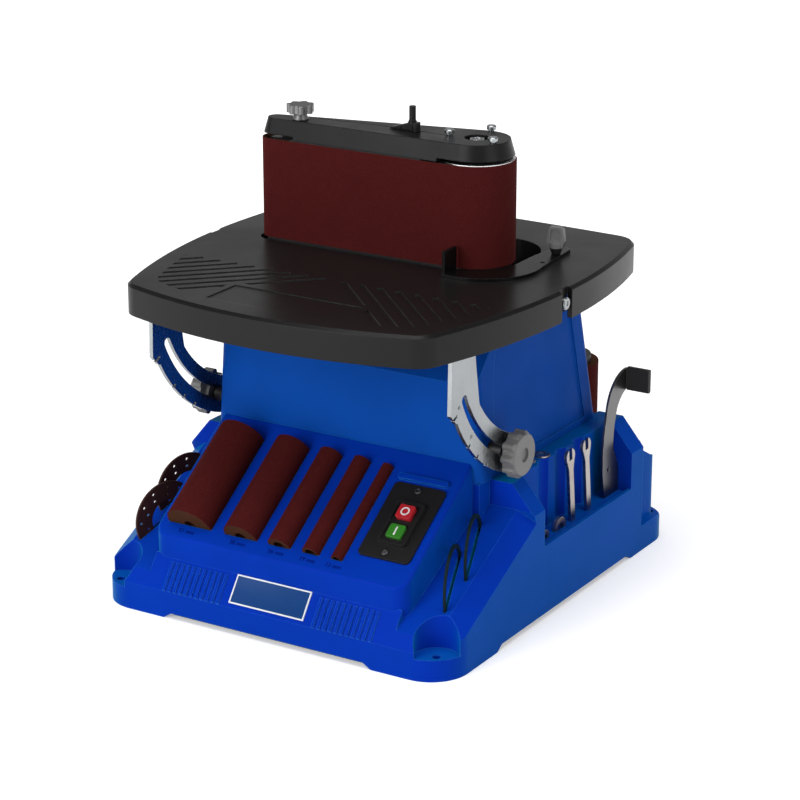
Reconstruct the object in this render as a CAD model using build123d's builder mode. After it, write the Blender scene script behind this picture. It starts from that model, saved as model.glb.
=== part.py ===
# Oscillating belt and spindle sander: a moulded bench base, a tilting cast table and a belt unit
# that rides up and down on the spindle.
# Millimetres. X runs right along the front, Y to the back, Z up.
# The origin is the middle of the base's underside, on the bench.
from build123d import *
import math
import os

os.makedirs("parts", exist_ok=True)

# Base moulding
BASE_W, BASE_D = 405.0, 474.0                # over the lip
BASE_CORNER_R = 40.0
LIP_H = 28.0                                 # upright lip round the foot
FOOT_RECESS_H = 5.75                         # clear height between the corner feet
FOOT_RECESS_HALF_X, FOOT_RECESS_HALF_Y = 120.0, 140.0
FOOT_RAMP = 9.0
FRONT_Y, BACK_Y = -BASE_D / 2, BASE_D / 2
BACK_WALL_Y = BACK_Y - 3.0                   # upright back wall, above the lip
SIDE_X = BASE_W / 2
APRON_TOP_Y, APRON_TOP_Z = -227.2, 41.4      # steep front apron, lip to flank
FLANK_TOP_Y, FLANK_TOP_Z = -71.0, 119.5      # flanks rise to the tool bins
BEVEL_X, BEVEL_DROP = 184.0, 15.3            # outer edge of each flank falls away to the side
DECK_Z = 145.5                               # level round the column's foot
REAR_HALF_W = 195.0                          # block behind the bins, set in from the lip
SHOULDER_Y, SHOULDER_Z = 199.0, 114.5        # its top falls from the bins to the tray's rim
TRAY_Z, TRAY_RIM_Z = 70.0, 94.0              # open tray behind the column
TRAY_Y, TRAY_FRONT_Y = 163.0, 151.0
TRAY_W, TRAY_RIM, TRAY_R = 300.0, 3.0, 8.0
CAVITY_HALF_W, CAVITY_END_HALF_W = 140.0, 108.0      # inside of the shell, middle and ends
CAVITY_BACK_Y = 128.0
DECK_HOLE_Y0, DECK_HOLE_Y1 = -83.0, 127.0    # opening in the deck under the column
WALL = 4.0
BOTTOM_T, BOTTOM_MARGIN = 2.5, 4.0           # cover between the feet
RIB_COUNT, RIB_PITCH, RIB_START_X = 11, 6.4, 55.0      # ribs each side of the name plate
RIB_W, RIB_H, RIB_LENGTH, RIB_FOOT = 3.2, 1.5, 30.0, 0.5

# Drum box on the front slope
BOX_HALF_W, BOX_FRONT_Y, BOX_FRONT_Z = 145.0, -217.0, 79.0
BOX_TOP_Y, BOX_TOP_Z = -91.0, 165.6
BOX_CORNER_R, BOX_EDGE_R = 14.0, 3.5
BOX_INSIDE_DROP0, BOX_INSIDE_DROP1 = 36.0, 42.0      # room under the slope's surface, front and top
SLOPE = math.degrees(math.atan2(BOX_TOP_Z - BOX_FRONT_Z, BOX_TOP_Y - BOX_FRONT_Y))
DRUM_LENGTH, DRUM_START = 114.3, 16.0        # stored drums, and how far up the slope they start
DRUM_SIZES = {"51": (50.8, -109.0), "38": (38.1, -48.6), "26": (25.4, -3.7),
              "19": (19.0, 32.4), "13": (12.7, 61.9)}   # diameter and place along X
SLEEVE_WALL = 1.1
CORE_BORE_R, CORE_WALL = 6.3, 1.2           # bore of the rubber cores, and their least wall
CRADLE_GAP = 0.1
SWITCH_X, SWITCH_ALONG = 107.7, 71.0
SWITCH_W, SWITCH_L, SWITCH_T = 57.0, 88.0, 2.5
KEYS_X, KEYS_ALONG = 2.0, -2.9               # middle of the buttons, from the plate's middle
BUTTON_W, BUTTON_L, BUTTON_PITCH = 16.5, 15.0, 22.4
BUTTON_GAP, BUTTON_TRAVEL, BUTTON_FOOT = 0.35, 3.0, 0.5
BEZEL_W, BEZEL_L, BEZEL_H = 31.0, 50.0, 6.5
BEZEL_RIM, BEZEL_SUNK = 3.0, 1.5             # raised rim round the buttons
SWITCH_R, BEZEL_R, BUTTON_R = 5.0, 3.0, 2.0  # rounded corners
SWITCH_BODY_W, SWITCH_BODY_L, SWITCH_BODY_T = 46.0, 64.0, 32.0
STOP_BUTTON_H, START_BUTTON_H = 9.5, 8.0
RIDGE_X, RIDGE_ALONG = 106.2, 122.0          # raised bar above the switch
RIDGE_L, RIDGE_W, RIDGE_H = 56.0, 6.0, 3.4

# Tool bins, one in each side
BIN_IN_X, BIN_WALL = 173.5, 4.0
BIN_Y0, BIN_Y1 = -48.5, 137.0
BIN_FLOOR_Z, BIN_SILL_Z = 74.0, 77.5
BIN_CHAMFER_X, BIN_CHAMFER_Z = 178.0, 116.0
SCALLOP_R, SCALLOP_IN, SCALLOPS = 14.0, 9.0, (0.0, 36.0, 72.0)

# Tools and spare washers in the right bin
TOOL_X = 189.0                               # outer face of the tools
SPANNERS = ((36.5, 79.0), (70.5, 80.0))      # place along Y and length
SPANNER_T, SPANNER_LEAN, SHANK_W = 3.5, 6.5, 8.4
JAW_R, JAW_GAP, JAW_DEPTH = 8.5, 6.5, 12.0
BAR_X, BAR_T, BAR_END_X = 187.5, 2.5, 213.0  # belt tension bar: plate, with a tab folded outwards
BAR_FOLD_Y, BAR_FOLD_Z0, BAR_FOLD_Z1 = 152.0, 181.0, 202.5
BAR_HOLE, BAR_HOLE_R = (113.2, 103.5), 2.2
BAR_FOOT_Y0, BAR_FOOT_Y1 = 107.0, 136.6      # foot of the bar on the bin's floor
BAR_NECK_Z, BAR_NECK_Y0, BAR_NECK_Y1 = 165.0, 108.6, 130.5
BAR_WAIST, BAR_HIP = (124.0, 124.0), (135.6, 101.5)
GRIP_T = 1.6                                 # soft sleeve round the tab
BIN_WASHERS = ((10.0, 11.0, 5.2), (-22.0, 8.0, 3.8))         # place along Y, radius and bore
DECK_WASHERS = ((164.0, 14.0, 8.5, 4.0), (162.5, -8.0, 6.0, 2.8))    # place, radius and bore
WASHER_T, THIN_WASHER_T = 4.0, 1.5

# Round table inserts, standing in slots in the flanks
INSERT_R, INSERT_T = 37.5, 2.4
INSERT_HOLE_R = {-1: 18.5, 1: 33.5}          # plates at the left, thin rings at the right
INSERT_PLACES = ((166.6, -164.3, 72.6), (167.3, -127.1, 91.2))
INSERT_TURN = 18.0                           # slots lean in towards the back, seen from above
INSERT_HOLE_RINGS = ((31.5, 12, 1.7), (24.0, 10, 1.7))       # ring radius, count and hole radius

# Bench bolts
BOLT_X, BOLT_Y, BOLT_R = 183.0, 221.0, 4.5
BOLT_POCKET_R, BOLT_FLOOR_Z = 22.0, 22.0

# Column
COL_HALF_W0, COL_HALF_W1 = 155.0, 145.5      # foot and top
COL_FRONT_Y, COL_BACK_Y0, COL_BACK_Y1 = -91.0, 149.0, 126.0
COL_TOP_Z, COL_SLOPE_Z = 288.0, 244.0        # front leans back from COL_SLOPE_Z to clear the table
COL_R = 10.0
PANEL_Y0, PANEL_Y1, PANEL_Z0, PANEL_Z1, PANEL_DEPTH = -60.0, 122.0, 153.0, 280.0, 2.0
PANEL_BOW, PANEL_LEAN = 14.0, 22.0           # bowed front edge and leaning back edge of the panel
EAR_X, EAR_T, EAR_R, EAR_FOOT = 131.5, 12.0, 7.0, 17.0      # ears that carry the table's tilt axis
PORT_X, PORT_Z, PORT_R, PORT_NECK_R = -60.0, 215.0, 19.0, 17.5
PORT_Y0, PORT_Y1, PORT_WALL = 142.0, 176.0, 2.0
AIR_SLOTS, AIR_Z, AIR_PITCH, AIR_L, AIR_W = 5, 190.0, 14.0, 60.0, 6.0
GLAND_X, GLAND_Z, GLAND_BORE_R = -120.0, 50.0, 4.5
GLAND_HEX_R, GLAND_HEX_T, GLAND_NECK_R, GLAND_NECK_L = 12.0, 8.0, 9.0, 9.0

# Table
TABLE_TOP_Z, TABLE_T, TABLE_SKIRT = 331.5, 7.0, 31.0
TABLE_SKIRT_T, TABLE_BEVEL = 5.0, 3.0
TABLE_HALF_W, TABLE_FRONT_Y, TABLE_BACK_Y = 206.0, -248.5, 186.3
TABLE_FRONT_CORNER, TABLE_BACK_CORNER = (168.0, -219.0), (180.0, 181.0)
TABLE_BULGE_Y, TABLE_CORNER_R = -4.0, 28.0
TABLE_UNDER_Z = TABLE_TOP_Z - TABLE_T
OPENING_FRONT_Y, OPENING_LEFT_X, OPENING_RIGHT_X = -19.2, -153.8, 124.9
OPENING_BACK_LEFT_Y, OPENING_BACK_RIGHT_Y = 47.0, 114.0     # far enough back to tilt past the belt
OPENING_ARC_Y, OPENING_ARC_MID = 58.0, (112.5, 98.0)        # round corner behind the drum
OPENING_RIB_T, OPENING_RIB_Z, OPENING_RIB_Y = 4.0, 296.0, 8.0       # stiffening rib round its back
PIVOT_Y, PIVOT_Z = -18.0, 317.0              # tilt axis, along X
PIVOT_R, PIVOT_BOSS, BOSS_X = 5.0, 9.5, 156.0
PIVOT_HEAD_R, PIVOT_HEAD_T = 6.2, 4.5
TILT_MAX = 45.0
NOTCH_X, NOTCH_W = 200.5, 19.0
GROOVE_PITCH, GROOVE_W, GROOVE_DEPTH, GROOVE_COUNT = 20.5, 6.0, 1.2, 11      # chevron grooves in the top
GROOVE_BACK_Y, GROOVE_MARGIN = -108.5, 21.0
LABEL_HALF_W, LABEL_Y0, LABEL_Y1, LABEL_DEPTH = 72.4, -220.0, -170.0, 0.7     # plain field among the grooves
LABEL_MARGIN = 7.0

# Trunnion quadrants, drawn from the tilt axis
TRUNNION_X, TRUNNION_T = 167.7, 4.0
QUAD_IN_R, QUAD_OUT_R, SLOT_R, SLOT_W = 131.0, 169.5, 149.5, 9.6
QUAD_START, QUAD_END = 205.0, 262.0
LOCK_ANGLE = 250.3                           # direction of the lock stud
LOCK_Y = PIVOT_Y + SLOT_R * math.cos(math.radians(LOCK_ANGLE))
LOCK_Z = PIVOT_Z + SLOT_R * math.sin(math.radians(LOCK_ANGLE))
LOCK_STUD_R, LOCK_SPACER_R = 4.0, 8.0
LOCK_STUD_L, LOCK_BORE_L = 20.0, 15.0
LOCK_KNOB_R, LOCK_KNOB_T, LOCK_BEVEL = 23.5, 18.0, 3.5
LOCK_LOBES, LOCK_LOBE_R, LOCK_HUB_R, LOCK_HUB_T = 10, 4.0, 12.0, 4.0
LOCK_CAP_R, LOCK_CAP_DEPTH = 7.0, 2.0        # sunk middle of the knob's face
FLANGE_W, FLANGE_Y0, FLANGE_Y1 = 22.0, -158.0, -115.0
FLANGE_SCREWS, FLANGE_SCREW_R, FLANGE_SCREW_T = (-165.0, -144.0), 5.0, 4.0
STOP_ANGLES, STOP_LEAD = (15.0, 22.5, 30.0, 45.0), 1.5      # tilts that have a notch in the outer edge
STOP_NOTCH_R, STOP_NOTCH_W = 172.0, 3.0

# Spindle and belt unit
SPINDLE_X, SPINDLE_Y = 81.9, 22.8
BELT_H, BELT_T, BELT_Z0 = 101.6, 1.0, 333.7
DRUM_R, IDLER_R = 39.0, 15.0                 # over the belt
IDLER_X = -135.8
IDLER_Y = SPINDLE_Y - (DRUM_R - IDLER_R)     # keeps the front run square to the table's front
BELT_Z1 = BELT_Z0 + BELT_H
SHAFT_R, RUN_GAP, FREE_GAP = 8.0, 0.05, 0.3
SHAFT_Z0, SHAFT_Z1, SHAFT_END_R = 120.0, 454.0, 5.0
DRUM_INSET = 0.5                             # drive drum's ends, inside the belt's edges
COLLAR_R, COLLAR_Z1, NUT_R, NUT_Z1 = 11.5, 451.5, 8.0, 454.5
QUILL_R, QUILL_BORE_R, QUILL_Z0, QUILL_Z1 = 22.0, 16.0, 205.0, 326.0
GUIDE_Z0, GUIDE_Z1, GUIDE_R = 230.0, 296.0, 30.0
BEARING_T = 12.0
PLATE_Z0, PLATE_Z1, PLATE_INSET = 328.0, 332.5, 4.0
PLATE_HUB_R, PLATE_HUB_T = 29.0, 12.0
POST_X0, POST_X1, POST_Y0, POST_Y1 = -35.0, 30.0, 3.0, 9.0  # wall between lower plate and cover
PLATEN_X0, PLATEN_X1, PLATEN_T = -112.0, 40.0, 4.0
ROD_BLOCK_X0, ROD_BLOCK_X1, ROD_BLOCK_HALF_H = -72.0, -52.0, 10.0
COVER_Z0, COVER_Z1, COVER_TAPER = BELT_Z1 + 1.2, 455.5, 16.0
COVER_INSET, COVER_WALL, COVER_ROOF = 0.6, 9.0, 5.0
NUT_WELL_R = 12.8
COVER_GAP_X, COVER_GAP_H = 58.0, 3.2         # cover stands clear of the belt round the drum
COVER_SLOT_X0, COVER_SLOT_X1, COVER_SLOT_H = -152.0, -108.0, 3.6
COVER_LINE, COVER_LINE_W, COVER_LINE_DEPTH = ((-95.0, 11.5), (-11.0, 18.0), (60.0, 14.5)), 1.6, 0.8
COVER_SCREWS = ((53.4, 18.1), (80.0, 54.2), (106.0, 11.4))
SCREW_R, SCREW_NECK_R, SCREW_NECK_H = 2.2, 3.0, 2.0
SCREW_HEAD_R, SCREW_HEAD_H, SCREW_CROWN = 4.9, 3.0, 1.0
TRACK_X, TRACK_Y, TRACK_R, TRACK_STEM_R = -108.5, 0.0, 14.0, 3.5
TRACK_LOBES, TRACK_LOBE_R, TRACK_HEAD_H = 7, 3.6, 8.5
TRACK_FOOT_R, TRACK_NECK_R, TRACK_NECK_H = 8.2, 6.0, 7.0
LEVER_X, LEVER_Y, LEVER_STEM_R, LEVER_HUB_R = 4.0, 18.0, 4.0, 6.5
ARM_X0, ARM_X1, ARM_X2, ARM_Y0, ARM_Y1 = -11.0, 8.0, 17.0, 12.0, 20.0       # wedge-shaped lever arm
ARM_H0, ARM_H1 = 0.8, 7.0
HANDLE_X, HANDLE_Y, HANDLE_R, HANDLE_FOOT_R = 12.3, 16.5, 3.4, 5.0  # upright handle on the arm
HANDLE_FLARE_H, HANDLE_TOP_Z = 4.0, 480.0
BARREL_X, BARREL_Y, BARREL_R, BARREL_H = 19.5, 11.5, 4.2, 9.5
ROD_R, ROD_Z, ROD_L = 5.0, 384.0, 60.0
CARRIER_X0, CARRIER_X1, CARRIER_HALF_W = -117.0, -109.0, 7.5        # idler carrier's upright
CARRIER_ARM_T, CARRIER_ARM_R, AXLE_R = 5.0, 6.5, 5.0
STOP_T, STOP_GAP, STOP_END_R = 3.0, 5.5, 5.0 # work stop's plate
STOP_LEFT_X, STOP_FRONT_Y = 82.0, -46.0
STOP_ARC_X, STOP_ARC_MID, STOP_SIDE = 98.0, (139.5, -27.3), (153.5, 25.0)
STOP_BACK = ((146.5, 103.0), (131.0, 98.0), (127.0, 58.0))
STOP_HOLE, STOP_HOLE_R = (146.0, 41.5), 2.5
TAB_T, TAB_Y0, TAB_Y1, TAB_TOP_Z = 3.0, -43.7, -20.7, 357.0
THUMB_X, THUMB_Y, THUMB_STEM_R, THUMB_STEM_L = 142.0, 77.0, 3.0, 4.0
THUMB_FOOT_R, THUMB_COLLAR_R, THUMB_COLLAR_H = 4.5, 6.8, 6.0
THUMB_HUB_R, THUMB_HUB_H = 7.0, 5.0
WING_W, WING_TOP_W, WING_H, WING_T, WING_TURN = 18.5, 15.0, 21.2, 7.0, 12.0
WING_R, WING_HIP, WING_RECESS_W, WING_RECESS_H, WING_RECESS = 4.0, 6.5, 10.0, 11.0, 1.2

# Motor and drive, inside the column
MOTOR_X, MOTOR_Y, MOTOR_R, MOTOR_WALL = -62.0, 40.0, 48.0, 8.0
MOTOR_Z0 = 45.0
MOTOR_SHAFT_R = 6.0
MOTOR_CAP, MOTOR_SEAT_R, MOTOR_AIR_GAP = 10.0, 13.0, 0.5
MOTOR_TAIL, MOTOR_NOSE = 24.0, 12.0          # shaft below the motor and above the upper belt
BRACKET_T, BRACKET_HALF_W, BRACKET_Y0, BRACKET_Y1 = 4.0, 146.0, -82.0, 140.0
SEAT_R, SEAT_BORE_R, SEAT_H, MOTOR_HOLE_R = 30.0, 22.0, 12.0, 20.0  # bearing seat in the bracket
FAN_R, FAN_HUB_R, FAN_Z0, FAN_H, FAN_PLATE_T = 40.0, 12.0, 25.0, 14.0, 3.0
FAN_BLADES, FAN_BLADE_L, FAN_BLADE_T = 8, 28.0, 2.0
HUB_R, PULLEY_NECK_R = 14.0, 12.0
UPPER_BELT_Z, LOWER_BELT_Z, GROOVE_H = 177.0, 159.0, 14.0
MOTOR_PULLEY_R, SPINDLE_PULLEY_R, CAM_PULLEY_R = 18.0, 34.0, 36.0
DRIVE_BELT_T, DRIVE_BELT_W = 4.0, 10.0
REAR_DRUM_X, REAR_DRUM_Y, REAR_DRUM_R = 91.0, 191.0, 38.1
REAR_POST_R, REAR_CAP_R, REAR_CAP_T = 6.0, 30.0, 7.0
FAR = 400.0                                  # longer than any wall is thick


def save(piece, name):
    """Label a finished piece and write its file."""
    piece.part.label = name
    export_step(piece.part, f"parts/{name}.step")


def slope_plane(x, along):
    """Plane on the drum box's slope: local x to the right, local y up the slope."""
    rise = math.radians(SLOPE)
    origin = (x, BOX_FRONT_Y + along * math.cos(rise), BOX_FRONT_Z + along * math.sin(rise))
    return Plane(origin=origin, x_dir=(1, 0, 0), z_dir=(0, -math.sin(rise), math.cos(rise)))


def up_slope_plane(x, along):
    """Plane square to the slope's rise, for pieces that lie along it."""
    rise = math.radians(SLOPE)
    origin = (x, BOX_FRONT_Y + along * math.cos(rise), BOX_FRONT_Z + along * math.sin(rise))
    return Plane(origin=origin, x_dir=(-1, 0, 0), z_dir=(0, math.cos(rise), math.sin(rise)))


def side_plane(x, y, z):
    """Plane that faces +X: local x to the back, local y up."""
    return Plane(origin=(x, y, z), x_dir=(0, 1, 0), z_dir=(1, 0, 0))


def back_plane(x, y, z):
    """Plane that faces +Y: local x to the left, local y up."""
    return Plane(origin=(x, y, z), x_dir=(-1, 0, 0), z_dir=(0, 1, 0))


def insert_plane(side, place):
    """Plane of one round insert: local x up."""
    turn = math.radians(INSERT_TURN)
    x, y, z = place
    return Plane(origin=(side * x, y, z), x_dir=(0, 0, 1), z_dir=(side * math.cos(turn), math.sin(turn), 0))


def belt_outline(inset):
    """Loop of the sanding belt in plan, drawn in by inset: used inside a sketch."""
    with Locations((SPINDLE_X, SPINDLE_Y)):
        Circle(DRUM_R - inset)
    with Locations((IDLER_X, IDLER_Y)):
        Circle(IDLER_R - inset)
    make_hull()


def drive_outline(motor_r, spindle_r):
    """Loop of a drive belt in plan: used inside a sketch."""
    with Locations((MOTOR_X, MOTOR_Y)):
        Circle(motor_r)
    with Locations((SPINDLE_X, SPINDLE_Y)):
        Circle(spindle_r)
    make_hull()


def lobed_grip(radius, lobes, lobe_r):
    """Round grip with bumps round its edge: used inside a sketch."""
    Circle(radius - 0.7 * lobe_r)
    with PolarLocations(radius - lobe_r, lobes):
        Circle(lobe_r)


def cylinder(x, y, z0, z1, radius, mode=Mode.ADD):
    """Upright cylinder between two heights: used inside a part."""
    with BuildSketch(Plane.XY.offset(z0)) as plan:
        with Locations((x, y)):
            Circle(radius)
    extrude(plan.sketch, amount=z1 - z0, mode=mode)


def tube(x, y, z0, z1, radius, bore):
    """Upright ring between two heights: used inside a part."""
    with BuildSketch(Plane.XY.offset(z0)) as plan:
        with Locations((x, y)):
            Circle(radius)
            Circle(bore, mode=Mode.SUBTRACT)
    extrude(plan.sketch, amount=z1 - z0)


def cone(x, y, z0, z1, radius0, radius1):
    """Upright cone between two heights, cut off at the top: used inside a part."""
    with Locations((x, y, z0)):
        Cone(radius0, radius1, z1 - z0, align=(Align.CENTER, Align.CENTER, Align.MIN))


def block(x0, x1, y0, y1, z0, z1, mode=Mode.ADD):
    """Box between two corners: used inside a part."""
    with BuildSketch(Plane.XY.offset(z0)) as plan:
        with Locations(((x0 + x1) / 2, (y0 + y1) / 2)):
            Rectangle(x1 - x0, y1 - y0)
    extrude(plan.sketch, amount=z1 - z0, mode=mode)


# Base housing: lip, apron, flanks, drum box, tool bins and rear tray in one moulding
flank_profile = [
    (FRONT_Y, 0), (FRONT_Y, LIP_H), (APRON_TOP_Y, APRON_TOP_Z), (FLANK_TOP_Y, FLANK_TOP_Z),
    (FLANK_TOP_Y, DECK_Z), (TRAY_Y, DECK_Z), (TRAY_Y, SHOULDER_Z), (SHOULDER_Y, TRAY_RIM_Z),
    (BACK_WALL_Y, TRAY_RIM_Z), (BACK_WALL_Y, LIP_H), (BACK_Y, LIP_H), (BACK_Y, 0),
]
box_profile = [
    (BOX_FRONT_Y, LIP_H), (BOX_FRONT_Y, BOX_FRONT_Z), (BOX_TOP_Y, BOX_TOP_Z), (BOX_TOP_Y, LIP_H),
]
apron_rise = math.atan2(APRON_TOP_Z - LIP_H, APRON_TOP_Y - FRONT_Y)
flank_rise = math.atan2(FLANK_TOP_Z - APRON_TOP_Z, FLANK_TOP_Y - APRON_TOP_Y)
apron_end_y = BOX_FRONT_Y + 2
apron_profile = [
    (FRONT_Y + 1, LIP_H - 8), (FRONT_Y, LIP_H),
    (apron_end_y, LIP_H + (apron_end_y - FRONT_Y) * math.tan(apron_rise)), (apron_end_y, LIP_H - 8),
]
apron_plane = Plane(origin=(0, FRONT_Y, LIP_H), x_dir=(1, 0, 0),
                    z_dir=(0, -math.sin(apron_rise), math.cos(apron_rise)))
bevel_plane = Plane(origin=(0, FLANK_TOP_Y, FLANK_TOP_Z), x_dir=(1, 0, 0),
                    z_dir=(0, -math.cos(flank_rise), -math.sin(flank_rise)))
bevel_run = SIDE_X - BEVEL_X
bevel_fall = BEVEL_DROP * math.cos(flank_rise)
bin_mid_y, bin_l = (BIN_Y0 + BIN_Y1) / 2, BIN_Y1 - BIN_Y0
bin_w = SIDE_X - BIN_WALL - BIN_IN_X

with BuildPart() as box_form:
    with BuildSketch(Plane.YZ):
        Polygon(*box_profile, align=None)
    extrude(amount=BOX_HALF_W, both=True)
    fillet(box_form.edges().filter_by(Axis.Z).group_by(Axis.Y)[0], radius=BOX_CORNER_R)
    slope_edges = box_form.faces().sort_by(Axis.Z)[-1].edges()
    fillet(slope_edges.filter_by(lambda e: e.center().Y < BOX_TOP_Y - 1), radius=BOX_EDGE_R)

with BuildPart() as base_housing:
    with BuildSketch(Plane.YZ):
        Polygon(*flank_profile, align=None)
    extrude(amount=SIDE_X, both=True)
    chamfer_end_x = SIDE_X + bevel_run
    chamfer_fall = (DECK_Z - BIN_CHAMFER_Z) / (SIDE_X - BIN_CHAMFER_X)
    chamfer_end_z = DECK_Z - chamfer_fall * (chamfer_end_x - BIN_CHAMFER_X)
    for side in (-1, 1):
        # bevel along the outer edge of each flank
        with BuildSketch(bevel_plane):
            Polygon((side * BEVEL_X, 0), (side * chamfer_end_x, -2 * bevel_fall),
                    (side * chamfer_end_x, FAR), (side * BEVEL_X, FAR), align=None)
        extrude(amount=FAR, mode=Mode.SUBTRACT)
        # outer top corner of the bin walls
        with BuildSketch(Plane.XZ.offset(-TRAY_Y)):
            Polygon((side * BIN_CHAMFER_X, DECK_Z), (side * chamfer_end_x, chamfer_end_z),
                    (side * chamfer_end_x, DECK_Z + 5), (side * BIN_CHAMFER_X, DECK_Z + 5), align=None)
        extrude(amount=TRAY_Y - FLANK_TOP_Y, mode=Mode.SUBTRACT)
    with BuildSketch(Plane.YZ):
        Polygon(*apron_profile, align=None)
    extrude(amount=BOX_HALF_W - 3, both=True)
    add(box_form.part)
    # plinth that carries the column's front edge
    block(-COL_HALF_W0 + 2, COL_HALF_W0 - 2, COL_FRONT_Y, FLANK_TOP_Y + 1, LIP_H, DECK_Z)
    # rounded plan corners
    with BuildSketch(Plane.XY):
        RectangleRounded(BASE_W, BASE_D, BASE_CORNER_R)
    extrude(amount=FAR, mode=Mode.INTERSECT)
    # block behind the bins, set in above the lip
    with BuildSketch(Plane.XY.offset(LIP_H)):
        with Locations((0, TRAY_Y)):
            Rectangle(2 * FAR, FAR, align=(Align.CENTER, Align.MIN))
        RectangleRounded(2 * REAR_HALF_W, 2 * BACK_WALL_Y, BASE_CORNER_R, mode=Mode.SUBTRACT)
    extrude(amount=FAR, mode=Mode.SUBTRACT)
    # ribs on the apron
    for side in (-1, 1):
        for rib in range(RIB_COUNT):
            with BuildSketch(apron_plane.offset(-RIB_H)):
                with Locations((side * (RIB_START_X + rib * RIB_PITCH), RIB_FOOT + RIB_LENGTH / 2)):
                    Rectangle(RIB_W, RIB_LENGTH)
            extrude(amount=2 * RIB_H)
    # raised bar above the switch
    with BuildSketch(slope_plane(RIDGE_X, RIDGE_ALONG).offset(-1)):
        SlotOverall(RIDGE_L, RIDGE_W)
    extrude(amount=RIDGE_H + 1)
    # tool bins, with a low outer sill and a scalloped inner wall
    for side in (-1, 1):
        with BuildSketch(Plane.XY.offset(BIN_FLOOR_Z)):
            with Locations((side * (BIN_IN_X + bin_w / 2), bin_mid_y)):
                Rectangle(bin_w, bin_l)
            for scallop_y in SCALLOPS:
                with Locations((side * (BIN_IN_X + SCALLOP_IN), scallop_y)):
                    Circle(SCALLOP_R)
        extrude(amount=FAR, mode=Mode.SUBTRACT)
        with BuildSketch(Plane.XY.offset(BIN_SILL_Z)):
            with Locations((side * SIDE_X, bin_mid_y)):
                Rectangle(4 * BIN_WALL, bin_l)
        extrude(amount=FAR, mode=Mode.SUBTRACT)
    # slots for the washers that stand in the right bin
    for place_y, radius, bore in BIN_WASHERS:
        slot_x0, slot_x1 = TOOL_X - WASHER_T - FREE_GAP, TOOL_X + FREE_GAP
        block(slot_x0, slot_x1, place_y - radius - FREE_GAP, place_y + radius + FREE_GAP,
              BIN_FLOOR_Z + 1 - radius, BIN_FLOOR_Z + 1, Mode.SUBTRACT)
    # rear tray
    tray_l = BACK_WALL_Y - TRAY_RIM - TRAY_FRONT_Y
    with BuildSketch(Plane.XY.offset(TRAY_Z)):
        with Locations((0, TRAY_FRONT_Y + tray_l / 2)):
            RectangleRounded(TRAY_W, tray_l, TRAY_R)
    extrude(amount=FAR, mode=Mode.SUBTRACT)
    # corner pockets for the bench bolts, open towards each corner
    for sx in (-1, 1):
        for sy in (-1, 1):
            corner = Location((sx * BOLT_X, sy * BOLT_Y, 0), (0, 0, math.degrees(math.atan2(sy, sx))))
            with BuildSketch(Plane.XY.offset(BOLT_FLOOR_Z)):
                with Locations(corner):
                    Circle(BOLT_POCKET_R)
                    Rectangle(FAR, 2 * BOLT_POCKET_R, align=(Align.MIN, Align.CENTER))
            extrude(amount=FAR, mode=Mode.SUBTRACT)
    with BuildSketch(Plane.XY):
        with GridLocations(2 * BOLT_X, 2 * BOLT_Y, 2, 2):
            Circle(BOLT_R)
    extrude(amount=FAR, mode=Mode.SUBTRACT)
    # clear space between the corner feet
    with BuildSketch(Plane.XZ.offset(-FAR)):
        Polygon((-FOOT_RECESS_HALF_X, 0), (-FOOT_RECESS_HALF_X + FOOT_RAMP, FOOT_RECESS_H),
                (FOOT_RECESS_HALF_X - FOOT_RAMP, FOOT_RECESS_H), (FOOT_RECESS_HALF_X, 0), align=None)
    extrude(amount=2 * FAR, mode=Mode.SUBTRACT)
    with BuildSketch(Plane.YZ.offset(-FAR)):
        Polygon((-FOOT_RECESS_HALF_Y, 0), (-FOOT_RECESS_HALF_Y + FOOT_RAMP, FOOT_RECESS_H),
                (FOOT_RECESS_HALF_Y - FOOT_RAMP, FOOT_RECESS_H), (FOOT_RECESS_HALF_Y, 0), align=None)
    extrude(amount=2 * FAR, mode=Mode.SUBTRACT)
    # inside of the shell: drum box, middle, rear and the open deck under the column
    with BuildSketch(Plane.YZ):
        Polygon((BOX_FRONT_Y + WALL, -1), (BOX_FRONT_Y + WALL, BOX_FRONT_Z - BOX_INSIDE_DROP0),
                (BOX_TOP_Y, BOX_TOP_Z - BOX_INSIDE_DROP1), (BOX_TOP_Y, -1), align=None)
    extrude(amount=CAVITY_END_HALF_W, both=True, mode=Mode.SUBTRACT)
    block(-CAVITY_HALF_W, CAVITY_HALF_W, BOX_TOP_Y - 1, CAVITY_BACK_Y, -1, DECK_Z - WALL, Mode.SUBTRACT)
    block(-CAVITY_END_HALF_W, CAVITY_END_HALF_W, CAVITY_BACK_Y - 1, BACK_WALL_Y - WALL, -1, TRAY_Z - WALL,
          Mode.SUBTRACT)
    block(-CAVITY_HALF_W + 2, CAVITY_HALF_W - 2, DECK_HOLE_Y0, DECK_HOLE_Y1, DECK_Z - 2 * WALL, DECK_Z + WALL,
          Mode.SUBTRACT)
    # drum cradles
    for diameter, place in DRUM_SIZES.values():
        with BuildSketch(up_slope_plane(place, DRUM_START - 0.5)):
            Circle(diameter / 2 + CRADLE_GAP)
        extrude(amount=DRUM_LENGTH + 1, mode=Mode.SUBTRACT)
    # switch cut-out
    with BuildSketch(slope_plane(SWITCH_X, SWITCH_ALONG)):
        Rectangle(SWITCH_BODY_W + 2, SWITCH_BODY_L + 2)
    extrude(amount=2 * SWITCH_BODY_T, both=True, mode=Mode.SUBTRACT)
    # slots for the round inserts, open upwards
    for side in (-1, 1):
        for place in INSERT_PLACES:
            with BuildSketch(insert_plane(side, place)):
                Circle(INSERT_R + FREE_GAP)
                Rectangle(FAR, 2 * (INSERT_R + FREE_GAP), align=(Align.MIN, Align.CENTER))
            extrude(amount=INSERT_T / 2 + FREE_GAP, both=True, mode=Mode.SUBTRACT)
save(base_housing, "base_housing")

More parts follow.
